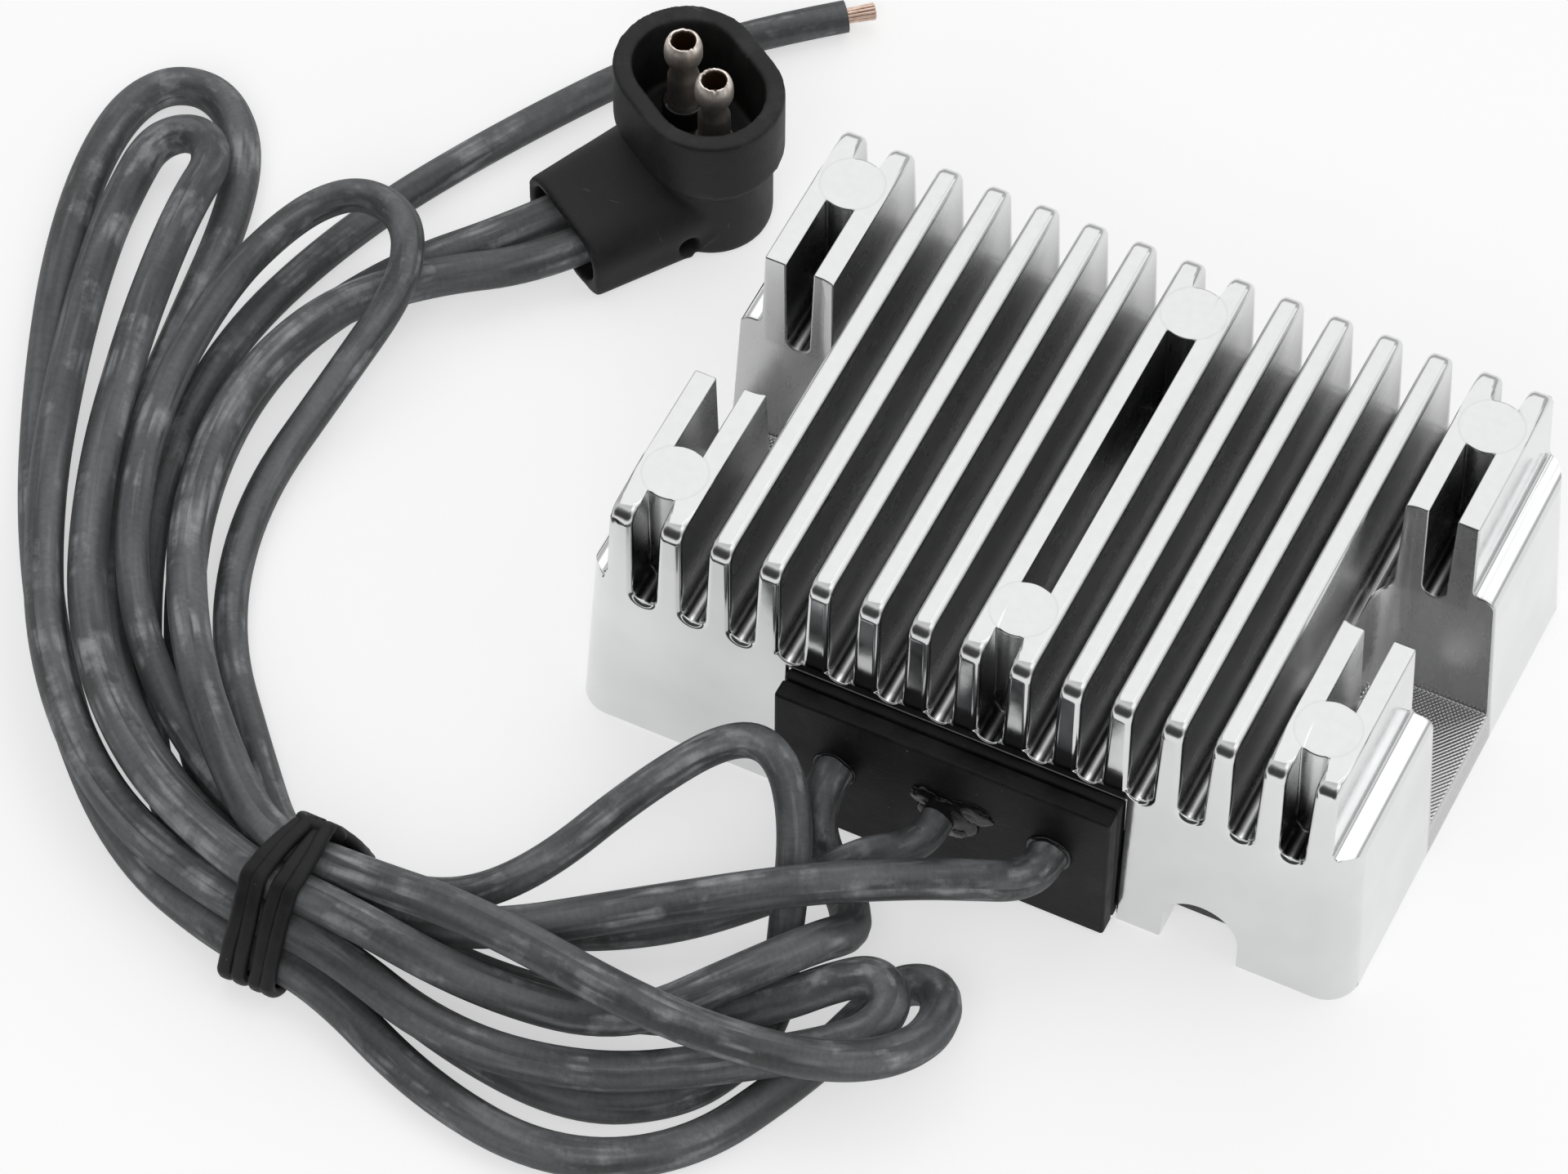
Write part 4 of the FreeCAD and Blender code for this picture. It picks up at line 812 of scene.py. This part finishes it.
# The resin in the underside
# Black resin, poured in level over the circuit and set with a slow ripple and a few pinholes.
resin_finish, resin_tree, resin_shader = start_finish("potting_resin")
resin_place = add_node(resin_tree, "TexCoord").outputs["Object"]
resin_ripple = add_node(resin_tree, "TexNoise", Vector=resin_place, Scale=55.0, Detail=3.0, Roughness=0.5)
resin_holes = add_node(resin_tree, "TexVoronoi", Vector=resin_place, Scale=150.0, Randomness=1.0)
pinholes = add_ramp(resin_tree, resin_holes.outputs["Distance"], 0.03, 0.09)
resin_tree.links.new(
    add_ramp(resin_tree, resin_ripple.outputs["Fac"], 0.35, 0.7, grey(0.008), grey(0.02)),
    resin_shader.inputs["Base Color"])
resin_tree.links.new(
    add_ramp(resin_tree, resin_ripple.outputs["Fac"], 0.3, 0.7, grey(0.18), grey(0.34)),
    resin_shader.inputs["Roughness"])
resin_surface = blend_colours(resin_tree, 0.3, resin_ripple.outputs["Fac"], pinholes)
add_relief(resin_tree, resin_shader, resin_surface, 0.0005)


def dress(finish, *names):
    """Gives a finish to solids that are shown as they are."""
    for name in names:
        for material_slot in solids[name].material_slots:
            material_slot.material = finish


dress(resin_finish, "potting_compound")

# The circuit in the resin
# A glass-fibre board with its small parts, four power devices clamped to an insulating sheet under the
# housing's roof, and the crimped ends of the three leads. None of it shows once the resin is poured.


def plain_finish(name, first, second, scale, roughness, metallic=0.0):
    """A finish of two near colours in a fine mottle, with a little relief of the same grain."""
    finish, tree, shader = start_finish(name)
    place = add_node(tree, "TexCoord").outputs["Object"]
    mottle = add_node(tree, "TexNoise", Vector=place, Scale=scale, Detail=5.0, Roughness=0.6)
    colour = add_ramp(tree, mottle.outputs["Fac"], 0.35, 0.65, first, second)
    tree.links.new(colour, shader.inputs["Base Color"])
    shader.inputs["Metallic"].default_value = metallic
    tree.links.new(
        add_ramp(tree, mottle.outputs["Fac"], 0.3, 0.7, grey(roughness), grey(roughness + 0.15)),
        shader.inputs["Roughness"])
    add_relief(tree, shader, mottle.outputs["Fac"], 0.00005)
    return finish


lead_finish = plain_finish("lead_rubber", grey(0.05), grey(0.11), 500.0, 0.5)
dress(lead_finish, "lead_left", "lead_centre", "lead_right")
board_finish, board_tree, board_shader = start_finish("board_laminate")
board_place = add_node(board_tree, "TexCoord").outputs["Object"]
weave = add_node(board_tree, "TexChecker", Vector=board_place, Scale=1600.0)
board_tree.links.new(
    blend_colours(board_tree, weave.outputs["Fac"], (0.05, 0.16, 0.06, 1), (0.07, 0.20, 0.08, 1)),
    board_shader.inputs["Base Color"])
board_shader.inputs["Roughness"].default_value = 0.4
add_relief(board_tree, board_shader, weave.outputs["Fac"], 0.00003)
dress(board_finish, "circuit_board")
device_finish = plain_finish("device_black", grey(0.012), grey(0.022), 1500.0, 0.4)
dress(device_finish, "scr_left", "scr_right", "diode_left", "diode_right", "filter_capacitor", "zener_diode",
      "control_transistor")
dress(plain_finish("insulating_sheet", grey(0.30), grey(0.38), 900.0, 0.6), "thermal_pad")
steel_finish = plain_finish("plated_steel", grey(0.55, 0.02), grey(0.72, 0.02), 400.0, 0.28, 1.0)
dress(steel_finish, "clamp_bar", "clamp_screws", "lead_terminals")
resistor_finish = plain_finish("resistor_body", (0.42, 0.30, 0.18, 1), (0.50, 0.37, 0.23, 1), 700.0, 0.5)
dress(resistor_finish, "trigger_resistors")

# The studio
# A white floor under soft boxes, with a dark gap in the walls behind the camera. None of it is part of
# the object.
bpy.ops.mesh.primitive_plane_add(size=6)
floor = bpy.context.object
floor.name = "floor"
floor_finish, floor_tree, floor_shader = start_finish("floor")
floor_shader.inputs["Base Color"].default_value = (0.6, 0.6, 0.6, 1)
floor_shader.inputs["Roughness"].default_value = 1
floor_shader.inputs["Specular IOR Level"].default_value = 0
ray = add_node(floor_tree, "LightPath")
seen = add_node(floor_tree, "Math", operation="MAXIMUM")
floor_tree.links.new(ray.outputs["Is Camera Ray"], seen.inputs[0])
floor_tree.links.new(ray.outputs["Is Glossy Ray"], seen.inputs[1])
floor_shader.inputs["Emission Color"].default_value = (1, 1, 1, 1)
floor_tree.links.new(product(floor_tree, seen.outputs[0], 0.56), floor_shader.inputs["Emission Strength"])
floor.data.materials.append(floor_finish)

for name, place, size, power, mirrored in (
    ("softbox_above", (-0.5, 1.06, 1.7), 2.2, 10, True),
    ("softbox_right", (1.3, 0.5, 1.5), 2.0, 8, True),
    ("softbox_front", (0.3, -1.6, 1.6), 1.2, 12, False),
):
    lamp = bpy.data.objects.new(name, bpy.data.lights.new(name, "AREA"))
    lamp.data.size = size
    lamp.data.energy = power
    lamp.location = place
    lamp.rotation_euler = (-Vector(place)).to_track_quat("-Z", "Y").to_euler()
    lamp.visible_glossy = mirrored
    scene.collection.objects.link(lamp)

world = bpy.data.worlds.new("studio")
world.use_nodes = True
scene.world = world
room = world.node_tree
backdrop = room.nodes["Background"]
way = add_node(room, "SeparateXYZ", Vector=add_node(room, "TexCoord").outputs["Generated"])
walls = add_ramp(room, way.outputs["Z"], 0.0, 0.7, grey(0.5), grey(0.85))
gap = product(room, rise(room, way.outputs["Y"], -0.30, -0.48), rise(room, way.outputs["Z"], 0.90, 0.80),
              rise(room, way.outputs["Z"], 0.02, 0.14), 0.93)
walls = blend_colours(room, gap, walls, grey(0.0))
ray = add_node(room, "LightPath")
lit = blend_colours(room, ray.outputs["Is Glossy Ray"], grey(0.3), grey(1.0))
plain = add_ramp(room, way.outputs["Z"], 0.0, 0.7, grey(0.5), grey(1.0))
seen_walls = blend_colours(room, ray.outputs["Is Glossy Ray"], plain, walls)
room.links.new(blend_colours(room, 1.0, seen_walls, lit, "MULTIPLY"), backdrop.inputs["Color"])
scene.view_settings.view_transform = "Standard"
